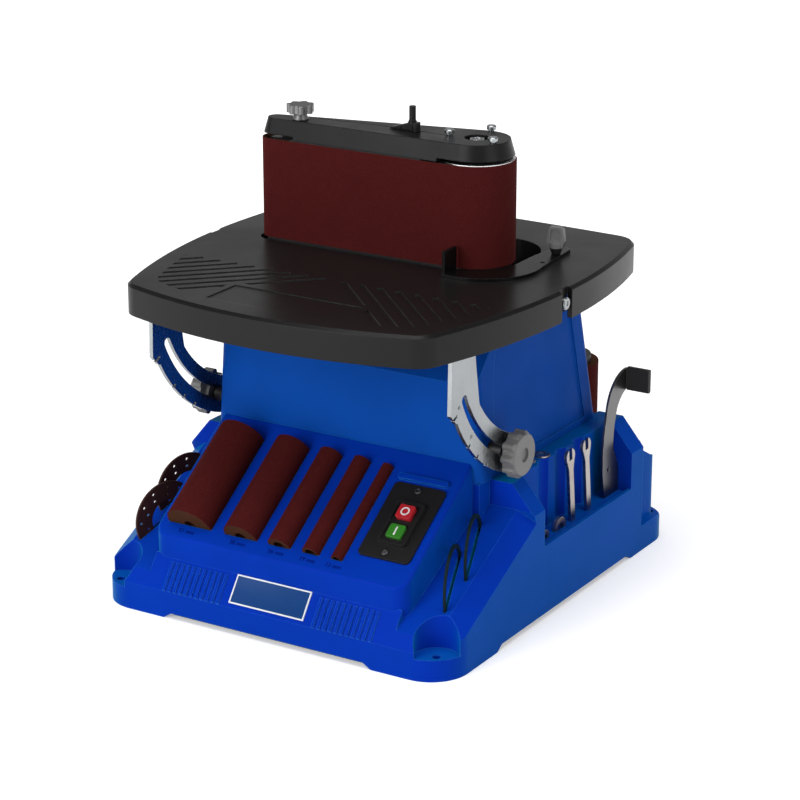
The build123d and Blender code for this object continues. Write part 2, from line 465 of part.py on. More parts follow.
# Cross-shaped cover under the base
with BuildPart() as bottom_cover:
    with BuildSketch(Plane.XY.offset(FOOT_RECESS_H - BOTTOM_T)):
        Rectangle(2 * (FOOT_RECESS_HALF_X - FOOT_RAMP) - 2, BASE_D - 2 * BOTTOM_MARGIN)
        Rectangle(BASE_W - 2 * BOTTOM_MARGIN, 2 * (FOOT_RECESS_HALF_Y - FOOT_RAMP) - 2)
    extrude(amount=BOTTOM_T)
save(bottom_cover, "bottom_cover")


# Column: tapered shell with a front that leans back under the table
def column_section(z, inset):
    """Plan of the column at height z, drawn in by inset."""
    share = (z - DECK_Z) / (COL_TOP_Z - DECK_Z)
    half_w = COL_HALF_W0 + share * (COL_HALF_W1 - COL_HALF_W0) - inset
    back = COL_BACK_Y0 + share * (COL_BACK_Y1 - COL_BACK_Y0) - inset
    front = COL_FRONT_Y + inset
    with BuildSketch(Plane.XY.offset(z)) as plan:
        with Locations((0, (front + back) / 2)):
            RectangleRounded(2 * half_w, back - front, COL_R - inset)
    return plan.sketch


def lean_cut(drop):
    """Cut away the front top edge along the lean, drop lower than the outside."""
    low_z = COL_SLOPE_Z - drop
    with BuildSketch(Plane.YZ) as profile:
        Polygon((COL_FRONT_Y - 10, low_z - 10), (COL_FRONT_Y + 90, low_z + 90),
                (COL_FRONT_Y - 10, low_z + 90), align=None)
    extrude(profile.sketch, amount=FAR, both=True, mode=Mode.SUBTRACT)


with BuildPart() as column_inside:
    loft([column_section(DECK_Z - 1, WALL), column_section(COL_TOP_Z - WALL, WALL)], ruled=True)
    lean_cut(WALL * math.sqrt(2))

col_lean = math.atan2(COL_HALF_W0 - COL_HALF_W1, COL_TOP_Z - DECK_Z)
ear_low = COL_TOP_Z - PIVOT_Z - 1
with BuildPart() as column_housing:
    loft([column_section(DECK_Z, 0), column_section(COL_TOP_Z, 0)], ruled=True)
    lean_cut(0)
    for side in (-1, 1):
        # side panel set in behind the corner pillar, with a bowed front edge
        panel_plane = Plane(origin=(side * (COL_HALF_W0 - PANEL_DEPTH), 0, DECK_Z), x_dir=(0, 1, 0),
                            z_dir=(math.cos(col_lean), 0, side * math.sin(col_lean)))
        panel_top, panel_low = PANEL_Z1 - DECK_Z, PANEL_Z0 - DECK_Z
        with BuildSketch(panel_plane):
            with BuildLine():
                Polyline((PANEL_Y0 + PANEL_BOW, panel_top), (PANEL_Y1 - PANEL_LEAN, panel_top),
                         (PANEL_Y1, panel_low), (PANEL_Y0 + PANEL_BOW, panel_low))
                ThreePointArc((PANEL_Y0 + PANEL_BOW, panel_low), (PANEL_Y0, (panel_low + panel_top) / 2),
                              (PANEL_Y0 + PANEL_BOW, panel_top))
            make_face()
        extrude(amount=side * 20, mode=Mode.SUBTRACT)
        # ear for the tilt axis
        with BuildSketch(side_plane(side * EAR_X, PIVOT_Y, PIVOT_Z)):
            Circle(EAR_R)
            Polygon((-EAR_R, 0), (-EAR_FOOT, ear_low), (EAR_FOOT, ear_low), (EAR_R, 0), align=None)
        extrude(amount=side * EAR_T)
    add(column_inside.part, mode=Mode.SUBTRACT)
    for side in (-1, 1):
        with BuildSketch(side_plane(side * (EAR_X - 5), PIVOT_Y, PIVOT_Z)):
            Circle(PIVOT_R + RUN_GAP)
        extrude(amount=side * (EAR_T + 10), mode=Mode.SUBTRACT)
        with BuildSketch(side_plane(side * (COL_HALF_W1 - 10), LOCK_Y, LOCK_Z)):
            Circle(LOCK_SPACER_R)
        extrude(amount=side * 30, mode=Mode.SUBTRACT)
    cylinder(SPINDLE_X, SPINDLE_Y, COL_TOP_Z - 2 * WALL, COL_TOP_Z + 1, GUIDE_R, Mode.SUBTRACT)
    with BuildSketch(back_plane(PORT_X, COL_BACK_Y1 - 20, PORT_Z)):
        Circle(PORT_NECK_R)
    extrude(amount=60, mode=Mode.SUBTRACT)
    # air slots in the back
    for slot in range(AIR_SLOTS):
        with BuildSketch(back_plane(0, COL_BACK_Y1 - 20, AIR_Z + AIR_PITCH * slot)):
            SlotOverall(AIR_L, AIR_W)
        extrude(amount=60, mode=Mode.SUBTRACT)
save(column_housing, "column_housing")

with BuildPart() as dust_port:
    with BuildSketch(back_plane(PORT_X, COL_BACK_Y1, PORT_Z)):
        Circle(PORT_NECK_R)
    extrude(amount=PORT_Y0 - COL_BACK_Y1)
    with BuildSketch(back_plane(PORT_X, PORT_Y0, PORT_Z)):
        Circle(PORT_R)
    extrude(amount=PORT_Y1 - PORT_Y0)
    with BuildSketch(back_plane(PORT_X, COL_BACK_Y1 - 1, PORT_Z)):
        Circle(PORT_NECK_R - PORT_WALL)
    extrude(amount=PORT_Y1, mode=Mode.SUBTRACT)
save(dust_port, "dust_port")

with BuildPart() as cord_gland:
    with BuildSketch(back_plane(GLAND_X, BACK_WALL_Y, GLAND_Z)):
        RegularPolygon(GLAND_HEX_R, 6)
    extrude(amount=GLAND_HEX_T)
    with BuildSketch(back_plane(GLAND_X, BACK_WALL_Y + GLAND_HEX_T, GLAND_Z)):
        Circle(GLAND_NECK_R)
    extrude(amount=GLAND_NECK_L)
    with BuildSketch(back_plane(GLAND_X, BACK_WALL_Y + 2, GLAND_Z)):
        Circle(GLAND_BORE_R)
    extrude(amount=GLAND_HEX_T + GLAND_NECK_L, mode=Mode.SUBTRACT)
save(cord_gland, "cord_gland")

# Switch: plate with a raised bezel, body behind it and two push buttons
switch_face = slope_plane(SWITCH_X, SWITCH_ALONG)
keys_face = slope_plane(SWITCH_X + KEYS_X, SWITCH_ALONG + KEYS_ALONG)
with BuildPart() as switch_plate:
    with BuildSketch(switch_face):
        RectangleRounded(SWITCH_W, SWITCH_L, SWITCH_R)
    extrude(amount=SWITCH_T)
    with BuildSketch(keys_face):
        RectangleRounded(BEZEL_W, BEZEL_L, BEZEL_R)
    extrude(amount=BEZEL_H)
    with BuildSketch(keys_face.offset(BEZEL_H - BEZEL_SUNK)):
        RectangleRounded(BEZEL_W - 2 * BEZEL_RIM, BEZEL_L - 2 * BEZEL_RIM, BEZEL_R / 2)
    extrude(amount=BEZEL_H, mode=Mode.SUBTRACT)
    with BuildSketch(keys_face):
        with GridLocations(0, BUTTON_PITCH, 1, 2):
            Rectangle(BUTTON_W + 2 * BUTTON_GAP, BUTTON_L + 2 * BUTTON_GAP)
    extrude(amount=FAR, mode=Mode.SUBTRACT)
save(switch_plate, "switch_plate")

with BuildPart() as switch_body:
    with BuildSketch(switch_face):
        Rectangle(SWITCH_BODY_W, SWITCH_BODY_L)
    extrude(amount=-SWITCH_BODY_T)
    with BuildSketch(keys_face):
        with GridLocations(0, BUTTON_PITCH, 1, 2):
            Rectangle(BUTTON_W + 2 * BUTTON_GAP, BUTTON_L + 2 * BUTTON_GAP)
    extrude(amount=-BUTTON_TRAVEL - 1, mode=Mode.SUBTRACT)
save(switch_body, "switch_body")

for name, step, height in (("stop_button", 1, STOP_BUTTON_H), ("start_button", -1, START_BUTTON_H)):
    with BuildPart() as button:
        with BuildSketch(keys_face.offset(-BUTTON_FOOT)):
            with Locations((0, step * BUTTON_PITCH / 2)):
                RectangleRounded(BUTTON_W, BUTTON_L, BUTTON_R)
        extrude(amount=height + BUTTON_FOOT)
    save(button, name)

# Stored drums: rubber cores and abrasive sleeves, half sunk in the slope
with BuildPart() as rubber_drums:
    for diameter, place in DRUM_SIZES.values():
        with BuildSketch(up_slope_plane(place, DRUM_START)):
            Circle(diameter / 2 - SLEEVE_WALL)
            Circle(min(CORE_BORE_R, diameter / 2 - SLEEVE_WALL - CORE_WALL), mode=Mode.SUBTRACT)
        extrude(amount=DRUM_LENGTH)
save(rubber_drums, "rubber_drums")

for size, (diameter, place) in DRUM_SIZES.items():
    with BuildPart() as sleeve:
        with BuildSketch(up_slope_plane(place, DRUM_START)):
            Circle(diameter / 2)
            Circle(diameter / 2 - SLEEVE_WALL, mode=Mode.SUBTRACT)
        extrude(amount=DRUM_LENGTH)
    save(sleeve, f"sleeve_{size}")

# Largest drum, on a post in the rear tray
rear_top_z = TRAY_Z + DRUM_LENGTH
with BuildPart() as rear_post:
    cylinder(REAR_DRUM_X, REAR_DRUM_Y, TRAY_Z, rear_top_z + 2, REAR_POST_R)
    cylinder(REAR_DRUM_X, REAR_DRUM_Y, rear_top_z, rear_top_z + REAR_CAP_T, REAR_CAP_R)
save(rear_post, "rear_post")
with BuildPart() as rear_drum:
    tube(REAR_DRUM_X, REAR_DRUM_Y, TRAY_Z, rear_top_z, REAR_DRUM_R - SLEEVE_WALL, REAR_POST_R)
save(rear_drum, "rear_drum")
with BuildPart() as rear_sleeve:
    tube(REAR_DRUM_X, REAR_DRUM_Y, TRAY_Z, rear_top_z, REAR_DRUM_R, REAR_DRUM_R - SLEEVE_WALL)
save(rear_sleeve, "rear_sleeve")

# Round table inserts
with BuildPart() as table_inserts:
    for side, centre_r in INSERT_HOLE_R.items():
        for place in INSERT_PLACES:
            with BuildSketch(insert_plane(side, place)):
                Circle(INSERT_R)
                Circle(centre_r, mode=Mode.SUBTRACT)
                for ring_r, count, hole_r in INSERT_HOLE_RINGS:
                    if centre_r < ring_r - 2 * hole_r:
                        with PolarLocations(ring_r, count):
                            Circle(hole_r, mode=Mode.SUBTRACT)
            extrude(amount=INSERT_T / 2, both=True)
save(table_inserts, "table_inserts")

# Tools in the right bin: two open-ended spanners, leaning, and the belt tension bar
with BuildPart() as wrenches:
    lean = math.radians(SPANNER_LEAN)
    for place_y, length in SPANNERS:
        spanner_plane = Plane(origin=(TOOL_X - SPANNER_T, place_y, BIN_FLOOR_Z),
                              x_dir=(0, math.cos(lean), math.sin(lean)), z_dir=(1, 0, 0))
        with BuildSketch(spanner_plane):
            with Locations((0, length - JAW_R)):
                Circle(JAW_R)
            Polygon((-SHANK_W / 2, -5), (-SHANK_W / 2, length - 2 * JAW_R - 6), (-JAW_R, length - JAW_R),
                    (JAW_R, length - JAW_R), (SHANK_W / 2, length - 2 * JAW_R - 6), (SHANK_W / 2, -5),
                    align=None)
            with Locations((0, length - JAW_DEPTH)):
                Rectangle(JAW_GAP, 2 * JAW_DEPTH, align=(Align.CENTER, Align.MIN), mode=Mode.SUBTRACT)
        extrude(amount=SPANNER_T)
    block(TOOL_X - 20, TOOL_X + 20, BIN_Y0, BIN_Y1, BIN_FLOOR_Z - 20, BIN_FLOOR_Z, Mode.SUBTRACT)
save(wrenches, "wrenches")

with BuildPart() as hook_bar:
    with BuildSketch(side_plane(BAR_X - BAR_T, 0, 0)):
        with BuildLine():
            neck0, neck1 = (BAR_NECK_Y0, BAR_NECK_Z), (BAR_NECK_Y1, BAR_NECK_Z)
            foot0, foot1 = (BAR_FOOT_Y0, BIN_FLOOR_Z), (BAR_FOOT_Y1, BIN_FLOOR_Z)
            ThreePointArc(foot0, (101.5, 122), neck0)
            ThreePointArc(neck0, (123.5, 193), (BAR_FOLD_Y, BAR_FOLD_Z1))
            Line((BAR_FOLD_Y, BAR_FOLD_Z1), (BAR_FOLD_Y, BAR_FOLD_Z0))
            ThreePointArc((BAR_FOLD_Y, BAR_FOLD_Z0), (138, 174), neck1)
            ThreePointArc(neck1, (124.5, 144), BAR_WAIST)
            Polyline(BAR_WAIST, BAR_HIP, foot1, foot0)
        make_face()
        with Locations(BAR_HOLE):
            Circle(BAR_HOLE_R, mode=Mode.SUBTRACT)
    extrude(amount=BAR_T)
    block(BAR_X - BAR_T, BAR_END_X - GRIP_T, BAR_FOLD_Y - BAR_T, BAR_FOLD_Y, BAR_FOLD_Z0, BAR_FOLD_Z1)
save(hook_bar, "hook_bar")

with BuildPart() as bar_grip:
    block(BAR_X + 1, BAR_END_X, BAR_FOLD_Y - BAR_T - GRIP_T, BAR_FOLD_Y + GRIP_T, BAR_FOLD_Z0 - GRIP_T,
          BAR_FOLD_Z1 + GRIP_T)
    fillet(bar_grip.edges().filter_by(Axis.X), GRIP_T)
    add(hook_bar.part, mode=Mode.SUBTRACT)
save(bar_grip, "bar_grip")

with BuildPart() as spare_washers:
    for place_y, radius, bore in BIN_WASHERS:
        with BuildSketch(side_plane(TOOL_X - WASHER_T, place_y, BIN_FLOOR_Z + 1)):
            Circle(radius)
            Circle(bore, mode=Mode.SUBTRACT)
        extrude(amount=WASHER_T)
    for place_x, place_y, radius, bore in DECK_WASHERS:
        tube(place_x, place_y, DECK_Z, DECK_Z + THIN_WASHER_T, radius, bore)
save(spare_washers, "spare_washers")

# Lock studs with their spacers
with BuildPart() as lock_studs:
    for side in (-1, 1):
        with BuildSketch(side_plane(side * (COL_HALF_W1 - 4), LOCK_Y, LOCK_Z)):
            Circle(LOCK_SPACER_R)
        extrude(amount=side * (TRUNNION_X - FREE_GAP - COL_HALF_W1 + 4))
        with BuildSketch(side_plane(side * (TRUNNION_X - 2), LOCK_Y, LOCK_Z)):
            Circle(LOCK_STUD_R)
        extrude(amount=side * LOCK_STUD_L)
save(lock_studs, "lock_studs")

knob_x = TRUNNION_X + TRUNNION_T + FREE_GAP
face_x = knob_x + LOCK_KNOB_T
for name, side in (("lock_knob_left", -1), ("lock_knob_right", 1)):
    with BuildPart() as lock_knob:
        with BuildSketch(side_plane(side * knob_x, LOCK_Y, LOCK_Z)):
            Circle(LOCK_HUB_R)
        extrude(amount=side * (LOCK_HUB_T + 2))
        with BuildSketch(side_plane(side * (knob_x + LOCK_HUB_T), LOCK_Y, LOCK_Z)):
            lobed_grip(LOCK_KNOB_R, LOCK_LOBES, LOCK_LOBE_R)
        extrude(amount=side * (LOCK_KNOB_T - LOCK_HUB_T))
        # bevel round the outer face, and its sunk middle
        with BuildSketch(Plane(origin=(0, LOCK_Y, LOCK_Z), x_dir=(1, 0, 0), z_dir=(0, -1, 0))):
            Polygon((side * (face_x - LOCK_BEVEL - 1), LOCK_KNOB_R + 1),
                    (side * (face_x + 1), LOCK_KNOB_R + 1),
                    (side * (face_x + 1), LOCK_KNOB_R - LOCK_BEVEL - 1), align=None)
        revolve(axis=Axis((0, LOCK_Y, LOCK_Z), (1, 0, 0)), mode=Mode.SUBTRACT)
        with BuildSketch(side_plane(side * (face_x - LOCK_CAP_DEPTH), LOCK_Y, LOCK_Z)):
            Circle(LOCK_CAP_R)
        extrude(amount=side * LOCK_CAP_DEPTH, mode=Mode.SUBTRACT)
        with BuildSketch(side_plane(side * knob_x, LOCK_Y, LOCK_Z)):
            Circle(LOCK_STUD_R + RUN_GAP)
        extrude(amount=side * LOCK_BORE_L, mode=Mode.SUBTRACT)
    save(lock_knob, name)

# Table: casting with a bowed outline, a deep skirt and a long opening round the belt
def table_outline(inset):
    """Bowed outline of the table, drawn in by inset."""
    front_x, front_y = TABLE_FRONT_CORNER[0] - inset, TABLE_FRONT_CORNER[1] + inset
    back_x, back_y = TABLE_BACK_CORNER[0] - inset, TABLE_BACK_CORNER[1] - inset
    bulge_x = TABLE_HALF_W - inset
    with BuildSketch() as plan:
        with BuildLine():
            ThreePointArc((-front_x, front_y), (0, TABLE_FRONT_Y + inset), (front_x, front_y))
            ThreePointArc((front_x, front_y), (bulge_x, TABLE_BULGE_Y), (back_x, back_y))
            ThreePointArc((back_x, back_y), (0, TABLE_BACK_Y - inset), (-back_x, back_y))
            ThreePointArc((-back_x, back_y), (-bulge_x, TABLE_BULGE_Y), (-front_x, front_y))
        make_face()
        fillet(plan.vertices(), TABLE_CORNER_R)
    return plan.sketch


def opening_outline(grow):
    """Outline of the opening round the belt, let out by grow."""
    left, right = OPENING_LEFT_X - grow, OPENING_RIGHT_X + grow
    front, back = OPENING_FRONT_Y - grow, OPENING_BACK_RIGHT_Y + grow
    arc_mid = (OPENING_ARC_MID[0] + grow * math.sqrt(0.5), OPENING_ARC_MID[1] + grow * math.sqrt(0.5))
    with BuildSketch() as plan:
        with BuildLine():
            Polyline((SPINDLE_X, back), (SPINDLE_X - DRUM_R, back), (left, OPENING_BACK_LEFT_Y + grow),
                     (left, front), (right, front), (right, OPENING_ARC_Y))
            ThreePointArc((right, OPENING_ARC_Y), arc_mid, (SPINDLE_X, back))
        make_face()
        fillet(plan.vertices().group_by(Axis.Y)[0].sort_by(Axis.X)[0], IDLER_R + 2 + grow)
        fillet(plan.vertices().group_by(Axis.Y)[0].sort_by(Axis.X)[-1], DRUM_R + grow)
    return plan.sketch


with BuildPart() as table:
    with BuildSketch(Plane.XY.offset(TABLE_TOP_Z - TABLE_SKIRT)):
        add(table_outline(0))
    extrude(amount=TABLE_SKIRT)
    chamfer(table.faces().sort_by(Axis.Z)[-1].edges(), TABLE_BEVEL)
    with BuildSketch(Plane.XY.offset(TABLE_TOP_Z - TABLE_SKIRT)):
        add(table_outline(TABLE_SKIRT_T))
    extrude(amount=TABLE_SKIRT - TABLE_T, mode=Mode.SUBTRACT)
    for side in (-1, 1):
        # boss on the tilt axis, behind the skirt
        boss_z0 = PIVOT_Z - PIVOT_BOSS
        with BuildSketch(side_plane(side * BOSS_X, PIVOT_Y, boss_z0)):
            Rectangle(2 * PIVOT_BOSS, TABLE_UNDER_Z - boss_z0 + 1, align=(Align.CENTER, Align.MIN))
        extrude(amount=side * (NOTCH_X - BOSS_X + 2))
        # notch in the edge round the bolt head
        with BuildSketch(side_plane(side * NOTCH_X, PIVOT_Y, PIVOT_Z)):
            Rectangle(NOTCH_W, 100)
        extrude(amount=side * 20, mode=Mode.SUBTRACT)
        with BuildSketch(side_plane(side * (BOSS_X - 1), PIVOT_Y, PIVOT_Z)):
            Circle(PIVOT_R)
        extrude(amount=side * 70, mode=Mode.SUBTRACT)
    # opening, wide at the back so that the table can tilt past the belt, with a rib round its back
    with BuildSketch(Plane.XY.offset(OPENING_RIB_Z)):
        add(opening_outline(OPENING_RIB_T))
        with Locations((0, OPENING_RIB_Y)):
            Rectangle(2 * FAR, FAR, align=(Align.CENTER, Align.MIN), mode=Mode.INTERSECT)
    extrude(amount=TABLE_UNDER_Z + 1 - OPENING_RIB_Z)
    with BuildSketch(Plane.XY.offset(OPENING_RIB_Z)):
        add(opening_outline(0))
    extrude(amount=FAR, mode=Mode.SUBTRACT)
    cylinder(THUMB_X, THUMB_Y, TABLE_UNDER_Z - 1, TABLE_TOP_Z + 1, THUMB_STEM_R + RUN_GAP, Mode.SUBTRACT)
    # chevron grooves in the front half of the top, round a plain sunk field
    with BuildSketch(Plane.XY.offset(TABLE_TOP_Z - GROOVE_DEPTH)):
        for side in (-1, 1):
            for groove in range(GROOVE_COUNT):
                start_x = side * (groove + 0.5) * GROOVE_PITCH
                with Locations(Location((start_x, GROOVE_BACK_Y, 0), (0, 0, -90 + 45 * side))):
                    Rectangle(FAR, GROOVE_W, align=(Align.MIN, Align.CENTER))
        add(table_outline(GROOVE_MARGIN), mode=Mode.INTERSECT)
        label_l = LABEL_Y1 - LABEL_Y0 + 2 * LABEL_MARGIN
        with Locations((0, (LABEL_Y0 + LABEL_Y1) / 2)):
            Rectangle(2 * (LABEL_HALF_W + LABEL_MARGIN), label_l, mode=Mode.SUBTRACT)
    extrude(amount=2 * GROOVE_DEPTH, mode=Mode.SUBTRACT)
    block(-LABEL_HALF_W, LABEL_HALF_W, LABEL_Y0, LABEL_Y1, TABLE_TOP_Z - LABEL_DEPTH, TABLE_TOP_Z + 1,
          Mode.SUBTRACT)
save(table, "table")

with BuildPart() as pivot_bolts:
    for side in (-1, 1):
        with BuildSketch(side_plane(side * (EAR_X + 1), PIVOT_Y, PIVOT_Z)):
            Circle(PIVOT_R)
        extrude(amount=side * (NOTCH_X - EAR_X - 1))
        with BuildSketch(side_plane(side * NOTCH_X, PIVOT_Y, PIVOT_Z)):
            Circle(PIVOT_HEAD_R)
        extrude(amount=side * PIVOT_HEAD_T)
save(pivot_bolts, "pivot_bolts")

# Trunnion plates: quadrant with a curved slot, strap up to the table and a flange under it
with BuildLine() as slot_path:
    CenterArc((0, 0), SLOT_R, LOCK_ANGLE - TILT_MAX, TILT_MAX)
under = TABLE_UNDER_Z - PIVOT_Z
strap = [(FLANGE_Y0, under), (FLANGE_Y0 - 2, -73), (-150, -83), (-103.5, -90), (-108, -71),
         (FLANGE_Y1, -29), (FLANGE_Y1, under)]
for name, side in (("trunnion_left", -1), ("trunnion_right", 1)):
    with BuildPart() as trunnion:
        with BuildSketch(side_plane(side * TRUNNION_X, PIVOT_Y, PIVOT_Z)):
            Circle(QUAD_OUT_R)
            Circle(QUAD_IN_R, mode=Mode.SUBTRACT)
            wedge = [(FAR * math.cos(math.radians(a)), FAR * math.sin(math.radians(a)))
                     for a in (QUAD_START, (QUAD_START + QUAD_END) / 2, QUAD_END)]
            Polygon((0, 0), *wedge, align=None, mode=Mode.INTERSECT)
            Polygon(*strap, align=None)
            SlotArc(slot_path.edge(), SLOT_W, mode=Mode.SUBTRACT)
            for angle in STOP_ANGLES:
                notch = LOCK_ANGLE + STOP_LEAD - angle
                turn = math.radians(notch)
                notch_x, notch_y = STOP_NOTCH_R * math.cos(turn), STOP_NOTCH_R * math.sin(turn)
                with Locations(Location((notch_x, notch_y, 0), (0, 0, notch))):
                    Rectangle(12, STOP_NOTCH_W, mode=Mode.SUBTRACT)
        extrude(amount=side * TRUNNION_T)
        with BuildSketch(side_plane(side * (TRUNNION_X + TRUNNION_T), PIVOT_Y, PIVOT_Z)):
            Polygon((FLANGE_Y0, under), (FLANGE_Y0, under - TRUNNION_T), (FLANGE_Y1, under - TRUNNION_T),
                    (FLANGE_Y1, under), align=None)
        extrude(amount=-side * (FLANGE_W + TRUNNION_T))
    save(trunnion, name)

with BuildPart() as trunnion_screws:
    for side in (-1, 1):
        for place_y in FLANGE_SCREWS:
            flange_mid, flange_z = side * (TRUNNION_X - FLANGE_W / 2), TABLE_UNDER_Z - TRUNNION_T
            cylinder(flange_mid, place_y, flange_z - FLANGE_SCREW_T, flange_z, FLANGE_SCREW_R)
save(trunnion_screws, "trunnion_screws")

# Work stop: plate round the drum's right side with an upright tab
with BuildPart() as work_stop:
    with BuildSketch(Plane.XY.offset(TABLE_TOP_Z)) as stop_plan:
        with BuildLine():
            arc_start = (STOP_ARC_X, STOP_FRONT_Y)
            Polyline((STOP_LEFT_X, SPINDLE_Y), (STOP_LEFT_X, STOP_FRONT_Y), arc_start)
            ThreePointArc(arc_start, STOP_ARC_MID, STOP_SIDE)
            Polyline(STOP_SIDE, *STOP_BACK, (STOP_BACK[-1][0], SPINDLE_Y), (STOP_LEFT_X, SPINDLE_Y))
        make_face()
        fillet(stop_plan.vertices().filter_by(lambda v: v.Y > STOP_BACK[1][1] - 1), STOP_END_R)
        with Locations((SPINDLE_X, SPINDLE_Y)):
            Circle(DRUM_R + STOP_GAP, mode=Mode.SUBTRACT)
        with Locations(STOP_HOLE):
            Circle(STOP_HOLE_R, mode=Mode.SUBTRACT)
        with Locations((THUMB_X, THUMB_Y)):
            Circle(THUMB_STEM_R + RUN_GAP, mode=Mode.SUBTRACT)
    extrude(amount=STOP_T)
    block(STOP_LEFT_X, STOP_LEFT_X + TAB_T, TAB_Y0, TAB_Y1, TABLE_TOP_Z, TAB_TOP_Z)
save(work_stop, "work_stop")

# Thumb knob: screw with a flaring collar and an upright wing, hollowed on both faces
knob_z = TABLE_TOP_Z + STOP_T + FREE_GAP
wing_z = knob_z + THUMB_COLLAR_H
wing_turn = math.radians(WING_TURN)
wing_plane = Plane(origin=(THUMB_X, THUMB_Y, wing_z), x_dir=(math.cos(wing_turn), math.sin(wing_turn), 0),
                   z_dir=(math.sin(wing_turn), -math.cos(wing_turn), 0))
with BuildPart() as thumb_knob:
    cylinder(THUMB_X, THUMB_Y, TABLE_UNDER_Z - THUMB_STEM_L, knob_z + 1, THUMB_STEM_R)
    cone(THUMB_X, THUMB_Y, knob_z, wing_z, THUMB_FOOT_R, THUMB_COLLAR_R)
    cylinder(THUMB_X, THUMB_Y, wing_z, wing_z + THUMB_HUB_H, THUMB_HUB_R)
    with BuildSketch(wing_plane) as wing:
        Polygon((-THUMB_HUB_R, 0), (-WING_W / 2, WING_HIP), (-WING_TOP_W / 2, WING_H),
                (WING_TOP_W / 2, WING_H), (WING_W / 2, WING_HIP), (THUMB_HUB_R, 0), align=None)
        fillet(wing.vertices().filter_by(lambda v: v.Y > 1), WING_R)
    extrude(amount=WING_T / 2, both=True)
    for face in (-1, 1):
        with BuildSketch(wing_plane.offset(face * (WING_T / 2 - WING_RECESS))):
            with Locations((0, (THUMB_HUB_H + WING_H) / 2)):
                RectangleRounded(WING_RECESS_W, WING_RECESS_H, WING_R - 1)
        extrude(amount=face * WING_T, mode=Mode.SUBTRACT)
save(thumb_knob, "thumb_knob")

# Belt unit: lower plate, platen, cover and sanding belt
with BuildPart() as belt_lower_plate:
    with BuildSketch(Plane.XY.offset(PLATE_Z0)):
        belt_outline(PLATE_INSET)
    extrude(amount=PLATE_Z1 - PLATE_Z0)
    cylinder(SPINDLE_X, SPINDLE_Y, PLATE_Z0 - PLATE_HUB_T, PLATE_Z0, PLATE_HUB_R)
    cylinder(SPINDLE_X, SPINDLE_Y, PLATE_Z0 - PLATE_HUB_T - 1, QUILL_Z1, QUILL_R, Mode.SUBTRACT)
    cylinder(SPINDLE_X, SPINDLE_Y, QUILL_Z1, PLATE_Z1 + 1, SHAFT_R + 2, Mode.SUBTRACT)
    block(POST_X0, POST_X1, POST_Y0, POST_Y1, PLATE_Z1, COVER_Z0)
save(belt_lower_plate, "belt_lower_plate")

platen_y0 = IDLER_Y - IDLER_R + BELT_T + FREE_GAP
with BuildPart() as platen:
    block(PLATEN_X0, PLATEN_X1, platen_y0, platen_y0 + PLATEN_T, PLATE_Z1, COVER_Z0)
    block(ROD_BLOCK_X0, ROD_BLOCK_X1, platen_y0 + PLATEN_T, IDLER_Y + ROD_BLOCK_HALF_H,
          ROD_Z - ROD_BLOCK_HALF_H, ROD_Z + ROD_BLOCK_HALF_H)
    with BuildSketch(side_plane(ROD_BLOCK_X0 - 1, IDLER_Y, ROD_Z)):
        Circle(ROD_R + RUN_GAP)
    extrude(amount=ROD_BLOCK_X1 - ROD_BLOCK_X0 + 2, mode=Mode.SUBTRACT)
save(platen, "platen")

with BuildPart() as sanding_belt:
    with BuildSketch(Plane.XY.offset(BELT_Z0)):
        belt_outline(0)
    extrude(amount=BELT_H)
    with BuildSketch(Plane.XY.offset(BELT_Z0)):
        belt_outline(BELT_T)
    extrude(amount=BELT_H, mode=Mode.SUBTRACT)
save(sanding_belt, "sanding_belt")

with BuildPart() as belt_cover:
    with BuildSketch(Plane.XY.offset(COVER_Z0)):
        belt_outline(COVER_INSET)
    extrude(amount=COVER_Z1 - COVER_Z0, taper=COVER_TAPER)
    with BuildSketch(Plane.XY.offset(COVER_Z0)):
        belt_outline(COVER_WALL)
    extrude(amount=COVER_Z1 - COVER_Z0 - COVER_ROOF, mode=Mode.SUBTRACT)
    cylinder(SPINDLE_X, SPINDLE_Y, COVER_Z0, COVER_Z1 + 1, NUT_WELL_R, Mode.SUBTRACT)
    # gaps above the belt, round the drum and at the idler
    block(COVER_GAP_X, SPINDLE_X + DRUM_R, IDLER_Y - IDLER_R, SPINDLE_Y + DRUM_R, COVER_Z0 - 1,
          COVER_Z0 + COVER_GAP_H, Mode.SUBTRACT)
    block(COVER_SLOT_X0, COVER_SLOT_X1, IDLER_Y - IDLER_R, IDLER_Y, COVER_Z0 - 1, COVER_Z0 + COVER_SLOT_H,
          Mode.SUBTRACT)
    with BuildSketch(Plane.XY.offset(COVER_Z1 - COVER_LINE_DEPTH)):
        with BuildLine():
            Polyline(*COVER_LINE)
        trace(line_width=COVER_LINE_W)
    extrude(amount=COVER_LINE_DEPTH, mode=Mode.SUBTRACT)
    cylinder(LEVER_X, LEVER_Y, COVER_Z0, COVER_Z1 + 1, LEVER_STEM_R + RUN_GAP, Mode.SUBTRACT)
    cylinder(TRACK_X, TRACK_Y, COVER_Z0, COVER_Z1 + 1, TRACK_STEM_R + RUN_GAP, Mode.SUBTRACT)
    for screw_x, screw_y in COVER_SCREWS:
        cylinder(screw_x, screw_y, COVER_Z1 - COVER_ROOF - 1, COVER_Z1 + 1, SCREW_R, Mode.SUBTRACT)
save(belt_cover, "belt_cover")

